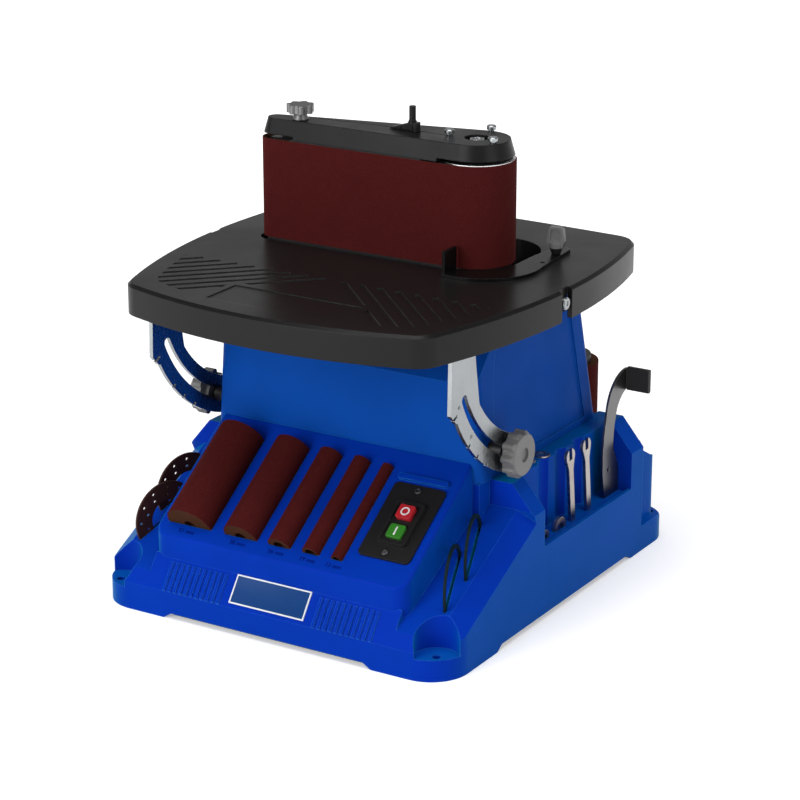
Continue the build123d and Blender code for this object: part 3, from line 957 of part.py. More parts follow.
with BuildPart() as cover_screws:
    for screw_x, screw_y in COVER_SCREWS:
        head_z = COVER_Z1 + SCREW_NECK_H
        crown_z = head_z + SCREW_HEAD_H
        cylinder(screw_x, screw_y, COVER_Z1 - COVER_ROOF, COVER_Z1, SCREW_R)
        cylinder(screw_x, screw_y, COVER_Z1, head_z, SCREW_NECK_R)
        cylinder(screw_x, screw_y, head_z, crown_z, SCREW_HEAD_R)
        cone(screw_x, screw_y, crown_z, crown_z + SCREW_CROWN, SCREW_HEAD_R, SCREW_HEAD_R - SCREW_CROWN)
save(cover_screws, "cover_screws")

with BuildPart() as tracking_knob:
    track_head_z = COVER_Z1 + TRACK_NECK_H
    cylinder(TRACK_X, TRACK_Y, COVER_Z1 - COVER_ROOF - 4, COVER_Z1 + 1, TRACK_STEM_R)
    cone(TRACK_X, TRACK_Y, COVER_Z1 + FREE_GAP, track_head_z, TRACK_FOOT_R, TRACK_NECK_R)
    with BuildSketch(Plane(origin=(TRACK_X, TRACK_Y, track_head_z))):
        lobed_grip(TRACK_R, TRACK_LOBES, TRACK_LOBE_R)
    extrude(amount=TRACK_HEAD_H)
save(tracking_knob, "tracking_knob")

# Tension lever: wedge-shaped arm on a stem, with an upright handle and a barrel at its end
lever_z = COVER_Z1 + FREE_GAP
with BuildPart() as tension_lever:
    cylinder(LEVER_X, LEVER_Y, COVER_Z1 - COVER_ROOF - 3, lever_z + 1, LEVER_STEM_R)
    cylinder(LEVER_X, LEVER_Y, lever_z, lever_z + ARM_H1 / 2, LEVER_HUB_R)
    with BuildSketch(Plane.XZ.offset(-ARM_Y1)):
        Polygon((ARM_X0, lever_z), (ARM_X0, lever_z + ARM_H0), (ARM_X1, lever_z + ARM_H1),
                (ARM_X2, lever_z + ARM_H1), (ARM_X2, lever_z), align=None)
    extrude(amount=ARM_Y1 - ARM_Y0)
    flare_z = lever_z + ARM_H1 + HANDLE_FLARE_H
    cone(HANDLE_X, HANDLE_Y, lever_z + ARM_H1, flare_z, HANDLE_FOOT_R, HANDLE_R)
    cylinder(HANDLE_X, HANDLE_Y, flare_z, HANDLE_TOP_Z, HANDLE_R)
    cylinder(BARREL_X, BARREL_Y, lever_z, lever_z + BARREL_H, BARREL_R)
save(tension_lever, "tension_lever")

# Idler on a carrier that slides towards the drum
arm_z0, arm_z1 = BELT_Z0 + 0.8, BELT_Z1 - 0.8
with BuildPart() as idler_carrier:
    block(CARRIER_X0, CARRIER_X1, IDLER_Y - CARRIER_HALF_W, IDLER_Y + CARRIER_HALF_W, arm_z0, arm_z1)
    for arm_z in (arm_z0, arm_z1 - CARRIER_ARM_T):
        block(IDLER_X, CARRIER_X0, IDLER_Y - CARRIER_ARM_R, IDLER_Y + CARRIER_ARM_R,
              arm_z, arm_z + CARRIER_ARM_T)
        cylinder(IDLER_X, IDLER_Y, arm_z, arm_z + CARRIER_ARM_T, CARRIER_ARM_R)
    cylinder(IDLER_X, IDLER_Y, arm_z0 - 1, arm_z1 + 1, AXLE_R, Mode.SUBTRACT)
    with BuildSketch(side_plane(CARRIER_X1 - 1, IDLER_Y, ROD_Z)):
        Circle(ROD_R)
    extrude(amount=ROD_L)
save(idler_carrier, "idler_carrier")
with BuildPart() as idler_axle:
    cylinder(IDLER_X, IDLER_Y, arm_z0, arm_z1, AXLE_R)
save(idler_axle, "idler_axle")
with BuildPart() as idler_roller:
    tube(IDLER_X, IDLER_Y, arm_z0 + CARRIER_ARM_T + 1, arm_z1 - CARRIER_ARM_T - 1,
         IDLER_R - BELT_T - FREE_GAP, AXLE_R + RUN_GAP)
save(idler_roller, "idler_roller")

# Spindle: shaft, drive drum, and a nut on a collar in the cover's well
drum_z0, drum_z1 = BELT_Z0 + DRUM_INSET, BELT_Z1 - DRUM_INSET
with BuildPart() as spindle_shaft:
    cylinder(SPINDLE_X, SPINDLE_Y, SHAFT_Z0, drum_z1, SHAFT_R)
    cylinder(SPINDLE_X, SPINDLE_Y, drum_z1, SHAFT_Z1, SHAFT_END_R)
save(spindle_shaft, "spindle_shaft")
with BuildPart() as drive_drum:
    tube(SPINDLE_X, SPINDLE_Y, drum_z0, drum_z1, DRUM_R - BELT_T - FREE_GAP, SHAFT_R)
save(drive_drum, "drive_drum")
with BuildPart() as spindle_nut:
    tube(SPINDLE_X, SPINDLE_Y, drum_z1, COLLAR_Z1, COLLAR_R, SHAFT_END_R)
    with BuildSketch(Plane(origin=(SPINDLE_X, SPINDLE_Y, COLLAR_Z1))):
        RegularPolygon(NUT_R, 6)
        Circle(SHAFT_END_R, mode=Mode.SUBTRACT)
    extrude(amount=NUT_Z1 - COLLAR_Z1)
save(spindle_nut, "spindle_nut")
with BuildPart() as quill:
    tube(SPINDLE_X, SPINDLE_Y, QUILL_Z0, QUILL_Z1, QUILL_R, QUILL_BORE_R)
save(quill, "quill")
with BuildPart() as spindle_bearings:
    for bearing_z in (QUILL_Z0 + 2, QUILL_Z1 - 2 - BEARING_T):
        tube(SPINDLE_X, SPINDLE_Y, bearing_z, bearing_z + BEARING_T, QUILL_BORE_R, SHAFT_R + RUN_GAP)
save(spindle_bearings, "spindle_bearings")
with BuildPart() as quill_guide:
    tube(SPINDLE_X, SPINDLE_Y, GUIDE_Z0, GUIDE_Z1, GUIDE_R, QUILL_R + RUN_GAP)
    tube(SPINDLE_X, SPINDLE_Y, COL_TOP_Z - WALL - 6, COL_TOP_Z - WALL, GUIDE_R + 18, GUIDE_R - 1)
save(quill_guide, "quill_guide")

# Motor, hung under a bracket that rests on the deck, and the belt drive above it
with BuildPart() as motor_bracket:
    block(-BRACKET_HALF_W, BRACKET_HALF_W, BRACKET_Y0, BRACKET_Y1, DECK_Z, DECK_Z + BRACKET_T)
    cylinder(SPINDLE_X, SPINDLE_Y, DECK_Z - SEAT_H, DECK_Z, SEAT_R)
    cylinder(SPINDLE_X, SPINDLE_Y, DECK_Z - SEAT_H - 1, DECK_Z + SEAT_H, SEAT_BORE_R, Mode.SUBTRACT)
    cylinder(MOTOR_X, MOTOR_Y, DECK_Z - 1, DECK_Z + SEAT_H, MOTOR_HOLE_R, Mode.SUBTRACT)
save(motor_bracket, "motor_bracket")
with BuildPart() as motor_stator:
    cylinder(MOTOR_X, MOTOR_Y, MOTOR_Z0, DECK_Z, MOTOR_R)
    cylinder(MOTOR_X, MOTOR_Y, MOTOR_Z0 + MOTOR_CAP, DECK_Z - MOTOR_CAP, MOTOR_R - MOTOR_WALL, Mode.SUBTRACT)
    cylinder(MOTOR_X, MOTOR_Y, MOTOR_Z0 - 1, DECK_Z + 1, MOTOR_SEAT_R, Mode.SUBTRACT)
save(motor_stator, "motor_stator")
with BuildPart() as drive_bearings:
    for bearing_z in (MOTOR_Z0, DECK_Z - MOTOR_CAP):
        tube(MOTOR_X, MOTOR_Y, bearing_z, bearing_z + MOTOR_CAP, MOTOR_SEAT_R, MOTOR_SHAFT_R + RUN_GAP)
    tube(SPINDLE_X, SPINDLE_Y, DECK_Z - SEAT_H + 1, DECK_Z + BRACKET_T, SEAT_BORE_R, HUB_R + RUN_GAP)
save(drive_bearings, "drive_bearings")
with BuildPart() as motor_rotor:
    cylinder(MOTOR_X, MOTOR_Y, MOTOR_Z0 - MOTOR_TAIL, UPPER_BELT_Z + MOTOR_NOSE, MOTOR_SHAFT_R)
    cylinder(MOTOR_X, MOTOR_Y, MOTOR_Z0 + MOTOR_CAP + WALL, DECK_Z - MOTOR_CAP - WALL,
             MOTOR_R - MOTOR_WALL - MOTOR_AIR_GAP)
save(motor_rotor, "motor_rotor")
with BuildPart() as motor_fan:
    tube(MOTOR_X, MOTOR_Y, FAN_Z0, FAN_Z0 + FAN_H, FAN_HUB_R, MOTOR_SHAFT_R)
    tube(MOTOR_X, MOTOR_Y, FAN_Z0, FAN_Z0 + FAN_PLATE_T, FAN_R, FAN_HUB_R - 1)
    with BuildSketch(Plane(origin=(MOTOR_X, MOTOR_Y, FAN_Z0 + 1))):
        with PolarLocations(FAN_R - FAN_BLADE_L / 2 - 1, FAN_BLADES):
            Rectangle(FAN_BLADE_L, FAN_BLADE_T)
    extrude(amount=FAN_H - 1)
save(motor_fan, "motor_fan")
with BuildPart() as motor_pulley:
    for belt_z in (LOWER_BELT_Z, UPPER_BELT_Z):
        tube(MOTOR_X, MOTOR_Y, belt_z - GROOVE_H / 2, belt_z + GROOVE_H / 2, MOTOR_PULLEY_R, MOTOR_SHAFT_R)
    tube(MOTOR_X, MOTOR_Y, LOWER_BELT_Z, UPPER_BELT_Z, PULLEY_NECK_R, MOTOR_SHAFT_R)
save(motor_pulley, "motor_pulley")
with BuildPart() as spindle_pulley:
    tube(SPINDLE_X, SPINDLE_Y, UPPER_BELT_Z - GROOVE_H / 2, UPPER_BELT_Z + GROOVE_H / 2, SPINDLE_PULLEY_R,
         SHAFT_R + RUN_GAP)
    tube(SPINDLE_X, SPINDLE_Y, DECK_Z - SEAT_H + 1, UPPER_BELT_Z, HUB_R, SHAFT_R + RUN_GAP)
save(spindle_pulley, "spindle_pulley")
with BuildPart() as cam_pulley:
    tube(SPINDLE_X, SPINDLE_Y, LOWER_BELT_Z - GROOVE_H / 2, LOWER_BELT_Z + GROOVE_H / 2, CAM_PULLEY_R,
         HUB_R + RUN_GAP)
save(cam_pulley, "cam_pulley")
with BuildPart() as drive_belts:
    for belt_z, big_r in ((LOWER_BELT_Z, CAM_PULLEY_R), (UPPER_BELT_Z, SPINDLE_PULLEY_R)):
        with BuildSketch(Plane.XY.offset(belt_z - DRIVE_BELT_W / 2)):
            drive_outline(MOTOR_PULLEY_R + FREE_GAP + DRIVE_BELT_T, big_r + FREE_GAP + DRIVE_BELT_T)
        extrude(amount=DRIVE_BELT_W)
        with BuildSketch(Plane.XY.offset(belt_z - DRIVE_BELT_W / 2)):
            drive_outline(MOTOR_PULLEY_R + FREE_GAP, big_r + FREE_GAP)
        extrude(amount=DRIVE_BELT_W, mode=Mode.SUBTRACT)
save(drive_belts, "drive_belts")
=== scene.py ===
# Oscillating belt and spindle sander: finishes, small fittings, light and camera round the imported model.
import bpy
import math
from mathutils import Matrix, Vector


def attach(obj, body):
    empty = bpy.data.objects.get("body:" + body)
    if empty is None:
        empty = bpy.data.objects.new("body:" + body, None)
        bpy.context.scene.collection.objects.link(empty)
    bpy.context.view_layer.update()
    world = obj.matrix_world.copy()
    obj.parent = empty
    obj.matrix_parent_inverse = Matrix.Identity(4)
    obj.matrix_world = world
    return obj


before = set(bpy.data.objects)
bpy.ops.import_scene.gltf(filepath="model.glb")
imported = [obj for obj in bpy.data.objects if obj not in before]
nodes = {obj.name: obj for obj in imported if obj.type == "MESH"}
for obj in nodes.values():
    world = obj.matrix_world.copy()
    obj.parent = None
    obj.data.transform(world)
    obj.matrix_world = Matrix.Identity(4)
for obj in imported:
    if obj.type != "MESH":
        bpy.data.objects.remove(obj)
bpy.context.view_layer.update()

MM = 0.001              # fittings are set out in millimetres, and finishes and light in metres

# Foot and top of the drum box's slope and of the apron, Y and Z
SLOPE_FOOT, SLOPE_TOP = (-217.0, 79.0), (-91.0, 165.6)
APRON_FOOT, APRON_TOP = (-237.0, 28.0), (-227.2, 41.4)
SLOPE = math.atan2(SLOPE_TOP[1] - SLOPE_FOOT[1], SLOPE_TOP[0] - SLOPE_FOOT[0])
APRON = math.atan2(APRON_TOP[1] - APRON_FOOT[1], APRON_TOP[0] - APRON_FOOT[0])

# Bare plate on the apron: its size, border, depth of field and rounding, and where it sits
PLATE_W, PLATE_L, PLATE_T = 86.0, 29.5, 1.6
PLATE_BORDER, PLATE_FIELD_DEPTH, PLATE_SOFT = 1.5, 0.35, 0.25
PLATE_ALONG, PLATE_SUNK = 19.0, 0.3

# Stored drums: size and place across the slope, and the figures in front of them
DRUMS = (("51", -109.0), ("38", -48.6), ("26", -3.7), ("19", 32.4), ("13", 61.9))
DRUM_FIGURE, DRUM_FIGURE_ALONG = 6.6, 8.2

# Switch plate and buttons on the slope, with their signs
SWITCH_X, SWITCH_ALONG, SWITCH_T = 107.7, 71.0, 2.5
SWITCH_SCREW_REACH = 37.0               # from the middle of the plate
KEYS_X, STOP_ALONG, STOP_H = 109.7, 79.3, 9.5
START_ALONG, START_H = 56.9, 8.0
STOP_SIGN_R, STOP_SIGN_WALL = 4.7, 1.5
START_SIGN_W, START_SIGN_L, START_SIGN_SOFT = 1.7, 9.5, 0.1
SIGN_T, SEAT = 0.35, 0.05               # height of a sign, and how deep a fitting sinks into its seat

# Socket heads: radius, height, socket's radius and depth
SWITCH_SCREW = (3.4, 1.9, 1.7, 1.2)
PIVOT_SCREW = (5.6, 1.0, 3.0, 0.8)
PIVOT_HEAD_X, PIVOT_SCREW_SEAT = 205.0, 0.1

# Trunnion plates and the figures on them
PIVOT_Y, PIVOT_Z = -18.0, 317.0
TRUNNION_FACE_X, LOCK_ANGLE = 171.7, 250.3
TILTS, TILT_FIGURE, TILT_FIGURE_R, TILT_FIGURE_T = (0, 15, 30, 45), 5.2, 160.5, 0.12

# Drive drum's rim
SPINDLE_X, SPINDLE_Y, DRUM_TOP_Z = 81.9, 22.8, 434.8
RIM_R, RIM_WALL, RIM_T, RIM_SEAT = 37.7, 2.6, 1.5, 0.02

# What finishes are set out from, in metres: belt, thumb knob and column
BELT_MIDDLE = (-27 * MM, 10 * MM, 0)
THUMB_COLLAR_Z = 340.8 * MM
# Height above which the column's flat top carries painted shade
COLUMN_SHADE_Z = 280 * MM

# Least upright share of the normal on a level face, and on the belt's cut edges
FACES_UP, CUT_EDGE = 0.9, 0.6

SMOOTH_BELOW = math.radians(35)         # edges flatter than this are shaded smooth


# Node helpers
def node(tree, kind, **values):
    """Add one shader node and set its values: inputs by socket name, the rest as settings."""
    made = tree.nodes.new(kind)
    for key, value in values.items():
        if hasattr(made, key):
            setattr(made, key, value)
        else:
            made.inputs[key.replace("_", " ")].default_value = value
    return made


def effect_group(name, inputs, outputs):
    """New shader group with named sockets, and its input and output nodes."""
    group = bpy.data.node_groups.new(name, "ShaderNodeTree")
    for label, kind, default in inputs:
        socket = group.interface.new_socket(label, in_out="INPUT", socket_type=kind)
        socket.default_value = default
    for label, kind in outputs:
        group.interface.new_socket(label, in_out="OUTPUT", socket_type=kind)
    return group, group.nodes.new("NodeGroupInput"), group.nodes.new("NodeGroupOutput")


VALUE, VECTOR = "NodeSocketFloat", "NodeSocketVector"


def make_edge_group():
    """Rounded edges and the mask of the paler band along them, which has gaps where a noise is low; in the
    mouldings that band is partly wear and partly painted highlight.
    """
    group, given, out = effect_group(
        "rounded_edges", [("Radius", VALUE, 0.001), ("Breakup", VALUE, 90.0), ("Gaps Below", VALUE, 0.42)],
        [("Mask", VALUE), ("Normal", VECTOR)])
    link = group.links.new
    bevel = node(group, "ShaderNodeBevel", samples=4)
    link(given.outputs["Radius"], bevel.inputs["Radius"])
    shape = node(group, "ShaderNodeNewGeometry")
    facing = node(group, "ShaderNodeVectorMath", operation="DOT_PRODUCT")
    link(bevel.outputs["Normal"], facing.inputs[0])
    link(shape.outputs["Normal"], facing.inputs[1])
    edge = node(group, "ShaderNodeMapRange", From_Min=0.985, From_Max=0.80)
    link(facing.outputs["Value"], edge.inputs["Value"])
    place = node(group, "ShaderNodeTexCoord")
    chips = node(group, "ShaderNodeTexNoise", Detail=4.0, Roughness=0.65)
    link(place.outputs["Object"], chips.inputs["Vector"])
    link(given.outputs["Breakup"], chips.inputs["Scale"])
    broken = node(group, "ShaderNodeMapRange", From_Max=0.66)
    link(chips.outputs["Fac"], broken.inputs["Value"])
    link(given.outputs["Gaps Below"], broken.inputs["From Min"])
    mask = node(group, "ShaderNodeMath", operation="MULTIPLY")
    link(edge.outputs["Result"], mask.inputs[0])
    link(broken.outputs["Result"], mask.inputs[1])
    link(mask.outputs["Value"], out.inputs["Mask"])
    link(bevel.outputs["Normal"], out.inputs["Normal"])
    return group


def make_grain_group():
    """Fine skin of a moulding or a powder coat, with soft handling marks at a larger scale."""
    group, given, out = effect_group(
        "moulded_grain", [("Grain Scale", VALUE, 1400.0), ("Mark Scale", VALUE, 14.0)],
        [("Height", VALUE), ("Tone", VALUE), ("Marks", VALUE)])
    link = group.links.new
    place = node(group, "ShaderNodeTexCoord")
    grain = node(group, "ShaderNodeTexNoise", Detail=2.0, Roughness=0.5)
    cells = node(group, "ShaderNodeTexVoronoi", feature="SMOOTH_F1")
    marks = node(group, "ShaderNodeTexNoise", Detail=5.0, Roughness=0.62, Distortion=0.4)
    for texture, scale in ((grain, "Grain Scale"), (cells, "Grain Scale"), (marks, "Mark Scale")):
        link(place.outputs["Object"], texture.inputs["Vector"])
        link(given.outputs[scale], texture.inputs["Scale"])
    height = node(group, "ShaderNodeMath", operation="MULTIPLY_ADD")
    link(cells.outputs["Distance"], height.inputs[0])
    height.inputs[1].default_value = 0.6
    link(grain.outputs["Fac"], height.inputs[2])
    spread = node(group, "ShaderNodeMapRange", From_Min=0.3, From_Max=0.7)
    link(marks.outputs["Fac"], spread.inputs["Value"])
    link(height.outputs["Value"], out.inputs["Height"])
    link(grain.outputs["Fac"], out.inputs["Tone"])
    link(spread.outputs["Result"], out.inputs["Marks"])
    return group


def make_grit_group():
    """Closed coat of abrasive grains with a slow change of tone."""
    group, given, out = effect_group(
        "abrasive_grit", [("Grains", VALUE, 2600.0), ("Cloud Scale", VALUE, 35.0)],
        [("Height", VALUE), ("Tone", VALUE), ("Glint", VALUE)])
    link = group.links.new
    place = node(group, "ShaderNodeTexCoord")
    grains = node(group, "ShaderNodeTexVoronoi", feature="F1")
    coarse = node(group, "ShaderNodeTexNoise", Detail=6.0, Roughness=0.7)
    for texture, scale in ((grains, "Grains"), (coarse, "Cloud Scale")):
        link(place.outputs["Object"], texture.inputs["Vector"])
        link(given.outputs[scale], texture.inputs["Scale"])
    each = node(group, "ShaderNodeSeparateColor")
    link(grains.outputs["Color"], each.inputs["Color"])
    height = node(group, "ShaderNodeMath", operation="SUBTRACT")
    link(each.outputs["Red"], height.inputs[0])
    link(grains.outputs["Distance"], height.inputs[1])
    tone = node(group, "ShaderNodeMath", operation="MULTIPLY_ADD")
    link(each.outputs["Green"], tone.inputs[0])
    tone.inputs[1].default_value = 0.55
    cloud = node(group, "ShaderNodeMath", operation="MULTIPLY")
    link(coarse.outputs["Fac"], cloud.inputs[0])
    cloud.inputs[1].default_value = 0.6
    link(cloud.outputs["Value"], tone.inputs[2])
    glint = node(group, "ShaderNodeMapRange", From_Min=0.93, From_Max=0.97)
    link(each.outputs["Blue"], glint.inputs["Value"])
    link(height.outputs["Value"], out.inputs["Height"])
    link(tone.outputs["Value"], out.inputs["Tone"])
    link(glint.outputs["Result"], out.inputs["Glint"])
    return group


def make_brush_group():
    """Fine lines of a brushed or ground metal, drawn out along one axis."""
    group, given, out = effect_group(
        "brushed_lines", [("Stretch", VECTOR, (1.0, 1.0, 1.0)), ("Fineness", VALUE, 900.0)],
        [("Height", VALUE), ("Tone", VALUE)])
    link = group.links.new
    place = node(group, "ShaderNodeTexCoord")
    drawn = node(group, "ShaderNodeVectorMath", operation="MULTIPLY")
    link(place.outputs["Object"], drawn.inputs[0])
    link(given.outputs["Stretch"], drawn.inputs[1])
    lines = node(group, "ShaderNodeTexNoise", Detail=4.0, Roughness=0.7)
    link(drawn.outputs["Vector"], lines.inputs["Vector"])
    link(given.outputs["Fineness"], lines.inputs["Scale"])
    smears = node(group, "ShaderNodeTexNoise", Scale=30.0, Detail=4.0, Roughness=0.6)
    link(place.outputs["Object"], smears.inputs["Vector"])
    tone = node(group, "ShaderNodeMath", operation="MULTIPLY_ADD")
    link(smears.outputs["Fac"], tone.inputs[0])
    tone.inputs[1].default_value = 0.5
    half = node(group, "ShaderNodeMath", operation="MULTIPLY")
    link(lines.outputs["Fac"], half.inputs[0])
    half.inputs[1].default_value = 0.5
    link(half.outputs["Value"], tone.inputs[2])
    link(lines.outputs["Fac"], out.inputs["Height"])
    link(tone.outputs["Value"], out.inputs["Tone"])
    return group


EDGES, GRAIN, GRIT, BRUSH = make_edge_group(), make_grain_group(), make_grit_group(), make_brush_group()


# Finishes
def new_finish(name):
    """New material, its node tree and its shader."""
    material = bpy.data.materials.new(name)
    material.use_nodes = True
    tree = material.node_tree
    return material, tree, tree.nodes["Principled BSDF"]


def place_group(tree, group, **values):
    """Put a shared effect into a material with its own values."""
    placed = tree.nodes.new("ShaderNodeGroup")
    placed.node_tree = group
    for label, value in values.items():
        placed.inputs[label.replace("_", " ")].default_value = value
    return placed


def blend(tree, factor, first, second):
    """Colour between two colours or colour outputs."""
    mix = tree.nodes.new("ShaderNodeMix")
    mix.data_type = "RGBA"
    tree.links.new(factor, mix.inputs["Factor"])
    for socket, value in ((mix.inputs["A"], first), (mix.inputs["B"], second)):
        if isinstance(value, tuple):
            socket.default_value = (*value, 1.0)
        else:
            tree.links.new(value, socket)
    return mix.outputs["Result"]


def span(tree, value, low, high):
    """Value moved into the range low to high."""
    ranged = node(tree, "ShaderNodeMapRange", To_Min=low, To_Max=high)
    tree.links.new(value, ranged.inputs["Value"])
    return ranged.outputs["Result"]


def axis_of(tree, source, axis):
    """One axis of a vector output."""
    parts = node(tree, "ShaderNodeSeparateXYZ")
    tree.links.new(source, parts.inputs["Vector"])
    return parts.outputs[axis]


def compared(tree, operation, value, limit):
    """One where the value is past the limit, and nought elsewhere."""
    test = node(tree, "ShaderNodeMath", operation=operation)
    tree.links.new(value, test.inputs[0])
    test.inputs[1].default_value = limit
    return test.outputs["Value"]


def object_place(tree):
    """Place on the piece."""
    return node(tree, "ShaderNodeTexCoord").outputs["Object"]


def face_normal(tree):
    """Direction that the surface looks in."""
    return node(tree, "ShaderNodeNewGeometry").outputs["Normal"]


def overlay(material, mask, colour):
    """Lay a colour over a finish where the mask is one."""
    tree = material.node_tree
    base = tree.nodes["Principled BSDF"].inputs["Base Color"]
    tree.links.new(blend(tree, mask, base.links[0].from_socket, colour), base)


def moulded(name, colour, pale, rough, specular, edge=0.0011, grain=1400.0, depth=0.00003, marks=14.0,
            edge_wear_and_highlight=0.55, gaps=0.42):
    """Moulded plastic or powder coat: skin grain, handling marks and paler edges, partly rubbed wear and
    partly a painted highlight along the rounded edges.
    """
    material, tree, shader = new_finish(name)
    link = tree.links.new
    skin = place_group(tree, GRAIN, Grain_Scale=grain, Mark_Scale=marks)
    rim = place_group(tree, EDGES, Radius=edge, Gaps_Below=gaps)
    toned = blend(tree, span(tree, skin.outputs["Marks"], 0.0, 1.0), colour, tuple(c * 0.86 for c in colour))
    # Paler edge colour: partly wear, partly painted highlight where light would catch the rounded edges.
    link(blend(tree, span(tree, rim.outputs["Mask"], 0.0, edge_wear_and_highlight), toned, pale), shader.inputs["Base Color"])
    link(span(tree, skin.outputs["Marks"], rough - 0.05, rough + 0.07), shader.inputs["Roughness"])
    shader.inputs["Specular IOR Level"].default_value = specular
    bump = node(tree, "ShaderNodeBump", Strength=0.35, Distance=depth)
    link(skin.outputs["Height"], bump.inputs["Height"])
    link(rim.outputs["Normal"], bump.inputs["Normal"])
    link(bump.outputs["Normal"], shader.inputs["Normal"])
    return material


def add_bloom(material, weight, spread, tint):
    """Soft bloom of a dull skin, on faces seen at a slant."""
    shader = material.node_tree.nodes["Principled BSDF"]
    shader.inputs["Sheen Weight"].default_value = weight
    shader.inputs["Sheen Roughness"].default_value = spread
    shader.inputs["Sheen Tint"].default_value = (*tint, 1.0)


BRIGHT_EDGE = (0.88, 0.88, 0.89)


def metal(name, colour, dark, rough, stretch, fineness=900.0, edge=0.0004, depth=0.00001):
    """Ground or brushed metal with drawn-out lines and brighter edges."""
    material, tree, shader = new_finish(name)
    link = tree.links.new
    lines = place_group(tree, BRUSH, Stretch=stretch, Fineness=fineness)
    rim = place_group(tree, EDGES, Radius=edge, Breakup=140.0)
    toned = blend(tree, span(tree, lines.outputs["Tone"], -0.2, 1.2), dark, colour)
    rubbed = span(tree, rim.outputs["Mask"], 0.0, 0.7)
    link(blend(tree, rubbed, toned, BRIGHT_EDGE), shader.inputs["Base Color"])
    shader.inputs["Metallic"].default_value = 1.0
    link(span(tree, lines.outputs["Tone"], rough - 0.08, rough + 0.12), shader.inputs["Roughness"])
    bump = node(tree, "ShaderNodeBump", Strength=0.25, Distance=depth)
    link(lines.outputs["Height"], bump.inputs["Height"])
    link(rim.outputs["Normal"], bump.inputs["Normal"])
    link(bump.outputs["Normal"], shader.inputs["Normal"])
    return material


def grit_coat(name, colour, bright, grains=2600.0):
    """Abrasive grains in resin."""
    material, tree, shader = new_finish(name)
    shader.inputs["Specular IOR Level"].default_value = 0.04
    link = tree.links.new
    coat = place_group(tree, GRIT, Grains=grains)
    dull, fresh = tuple(c * 0.72 for c in colour), tuple(c * 1.25 for c in colour)
    toned = blend(tree, coat.outputs["Tone"], dull, fresh)
    coated = blend(tree, span(tree, coat.outputs["Glint"], 0.0, 0.35), toned, bright)
    link(coated, shader.inputs["Base Color"])
    link(span(tree, coat.outputs["Tone"], 0.78, 0.95), shader.inputs["Roughness"])
    bump = node(tree, "ShaderNodeBump", Strength=0.5, Distance=0.00018)
    link(coat.outputs["Height"], bump.inputs["Height"])
    link(bump.outputs["Normal"], shader.inputs["Normal"])
    return material


def belt_finish():
    """Sanding belt: grit outside, cloth backing inside and darker cut edges."""
    material = grit_coat("belt_grit", (0.058, 0.0070, 0.0070), (0.16, 0.04, 0.035))
    tree = material.node_tree
    link = tree.links.new
    from_middle = node(tree, "ShaderNodeVectorMath", operation="SUBTRACT")
    link(object_place(tree), from_middle.inputs[0])
    from_middle.inputs[1].default_value = BELT_MIDDLE
    outward = node(tree, "ShaderNodeVectorMath", operation="DOT_PRODUCT")
    link(from_middle.outputs["Vector"], outward.inputs[0])
    link(face_normal(tree), outward.inputs[1])
    inside = compared(tree, "LESS_THAN", outward.outputs["Value"], 0.0)
    weave = node(tree, "ShaderNodeTexWave", Scale=600.0, Distortion=1.5, bands_direction="Z")
    link(object_place(tree), weave.inputs["Vector"])
    overlay(material, inside, blend(tree, weave.outputs["Fac"], (0.16, 0.085, 0.05), (0.24, 0.14, 0.085)))
    level = node(tree, "ShaderNodeMath", operation="ABSOLUTE")
    link(axis_of(tree, face_normal(tree), "Z"), level.inputs[0])
    cut = compared(tree, "GREATER_THAN", level.outputs["Value"], CUT_EDGE)
    overlay(material, cut, (0.070, 0.020, 0.016))
    return material


def two_tone(name, axis, split, low, high, rough, specular):
    """Moulding that has another colour below a place along an axis."""
    pale = tuple(c * 1.5 for c in high)
    material = moulded(name, high, pale, rough, specular, edge=0.0006, grain=2000.0)
    tree = material.node_tree
    overlay(material, compared(tree, "LESS_THAN", axis_of(tree, object_place(tree), axis), split), low)
    return material


def column_finish():
    """Column moulding with painted shade on its flat top: near-black where the top lies in shadow under the
    table and shows through the table's opening.
    """
    # Bright pale edges blended strongly: mostly painted highlight along the edges, with some wear.
    material = moulded("column_blue", (0.0035, 0.068, 0.38), (0.04, 0.25, 0.72), 0.36, 0.016,
                       edge=0.0012, edge_wear_and_highlight=0.68, gaps=0.1)
    tree = material.node_tree
    # Near-black painted shade on the upward faces of the column's top, where it lies in shadow under the
    # table.
    shaded_top = node(tree, "ShaderNodeMath", operation="MULTIPLY")
    upward = compared(tree, "GREATER_THAN", axis_of(tree, face_normal(tree), "Z"), FACES_UP)
    high = compared(tree, "GREATER_THAN", axis_of(tree, object_place(tree), "Z"), COLUMN_SHADE_Z)
    tree.links.new(upward, shaded_top.inputs[0])
    tree.links.new(high, shaded_top.inputs[1])
    overlay(material, shaded_top.outputs["Value"], (0.011, 0.011, 0.0115))
    return material


ALONG_X, ALONG_Z, ALL_WAYS = (0.02, 1.0, 1.0), (1.0, 1.0, 0.02), (1.0, 1.0, 1.0)
# Bright pale edges blended strongly: mostly painted highlight along the edges, with some wear.
base_blue = moulded("base_blue", (0.0016, 0.0235, 0.40), (0.05, 0.25, 0.80), 0.34, 0.016,
                    edge=0.0010, edge_wear_and_highlight=0.72, gaps=0.1)
add_bloom(base_blue, 0.35, 0.5, (0.0, 0.80, 0.50))
column_blue = column_finish()
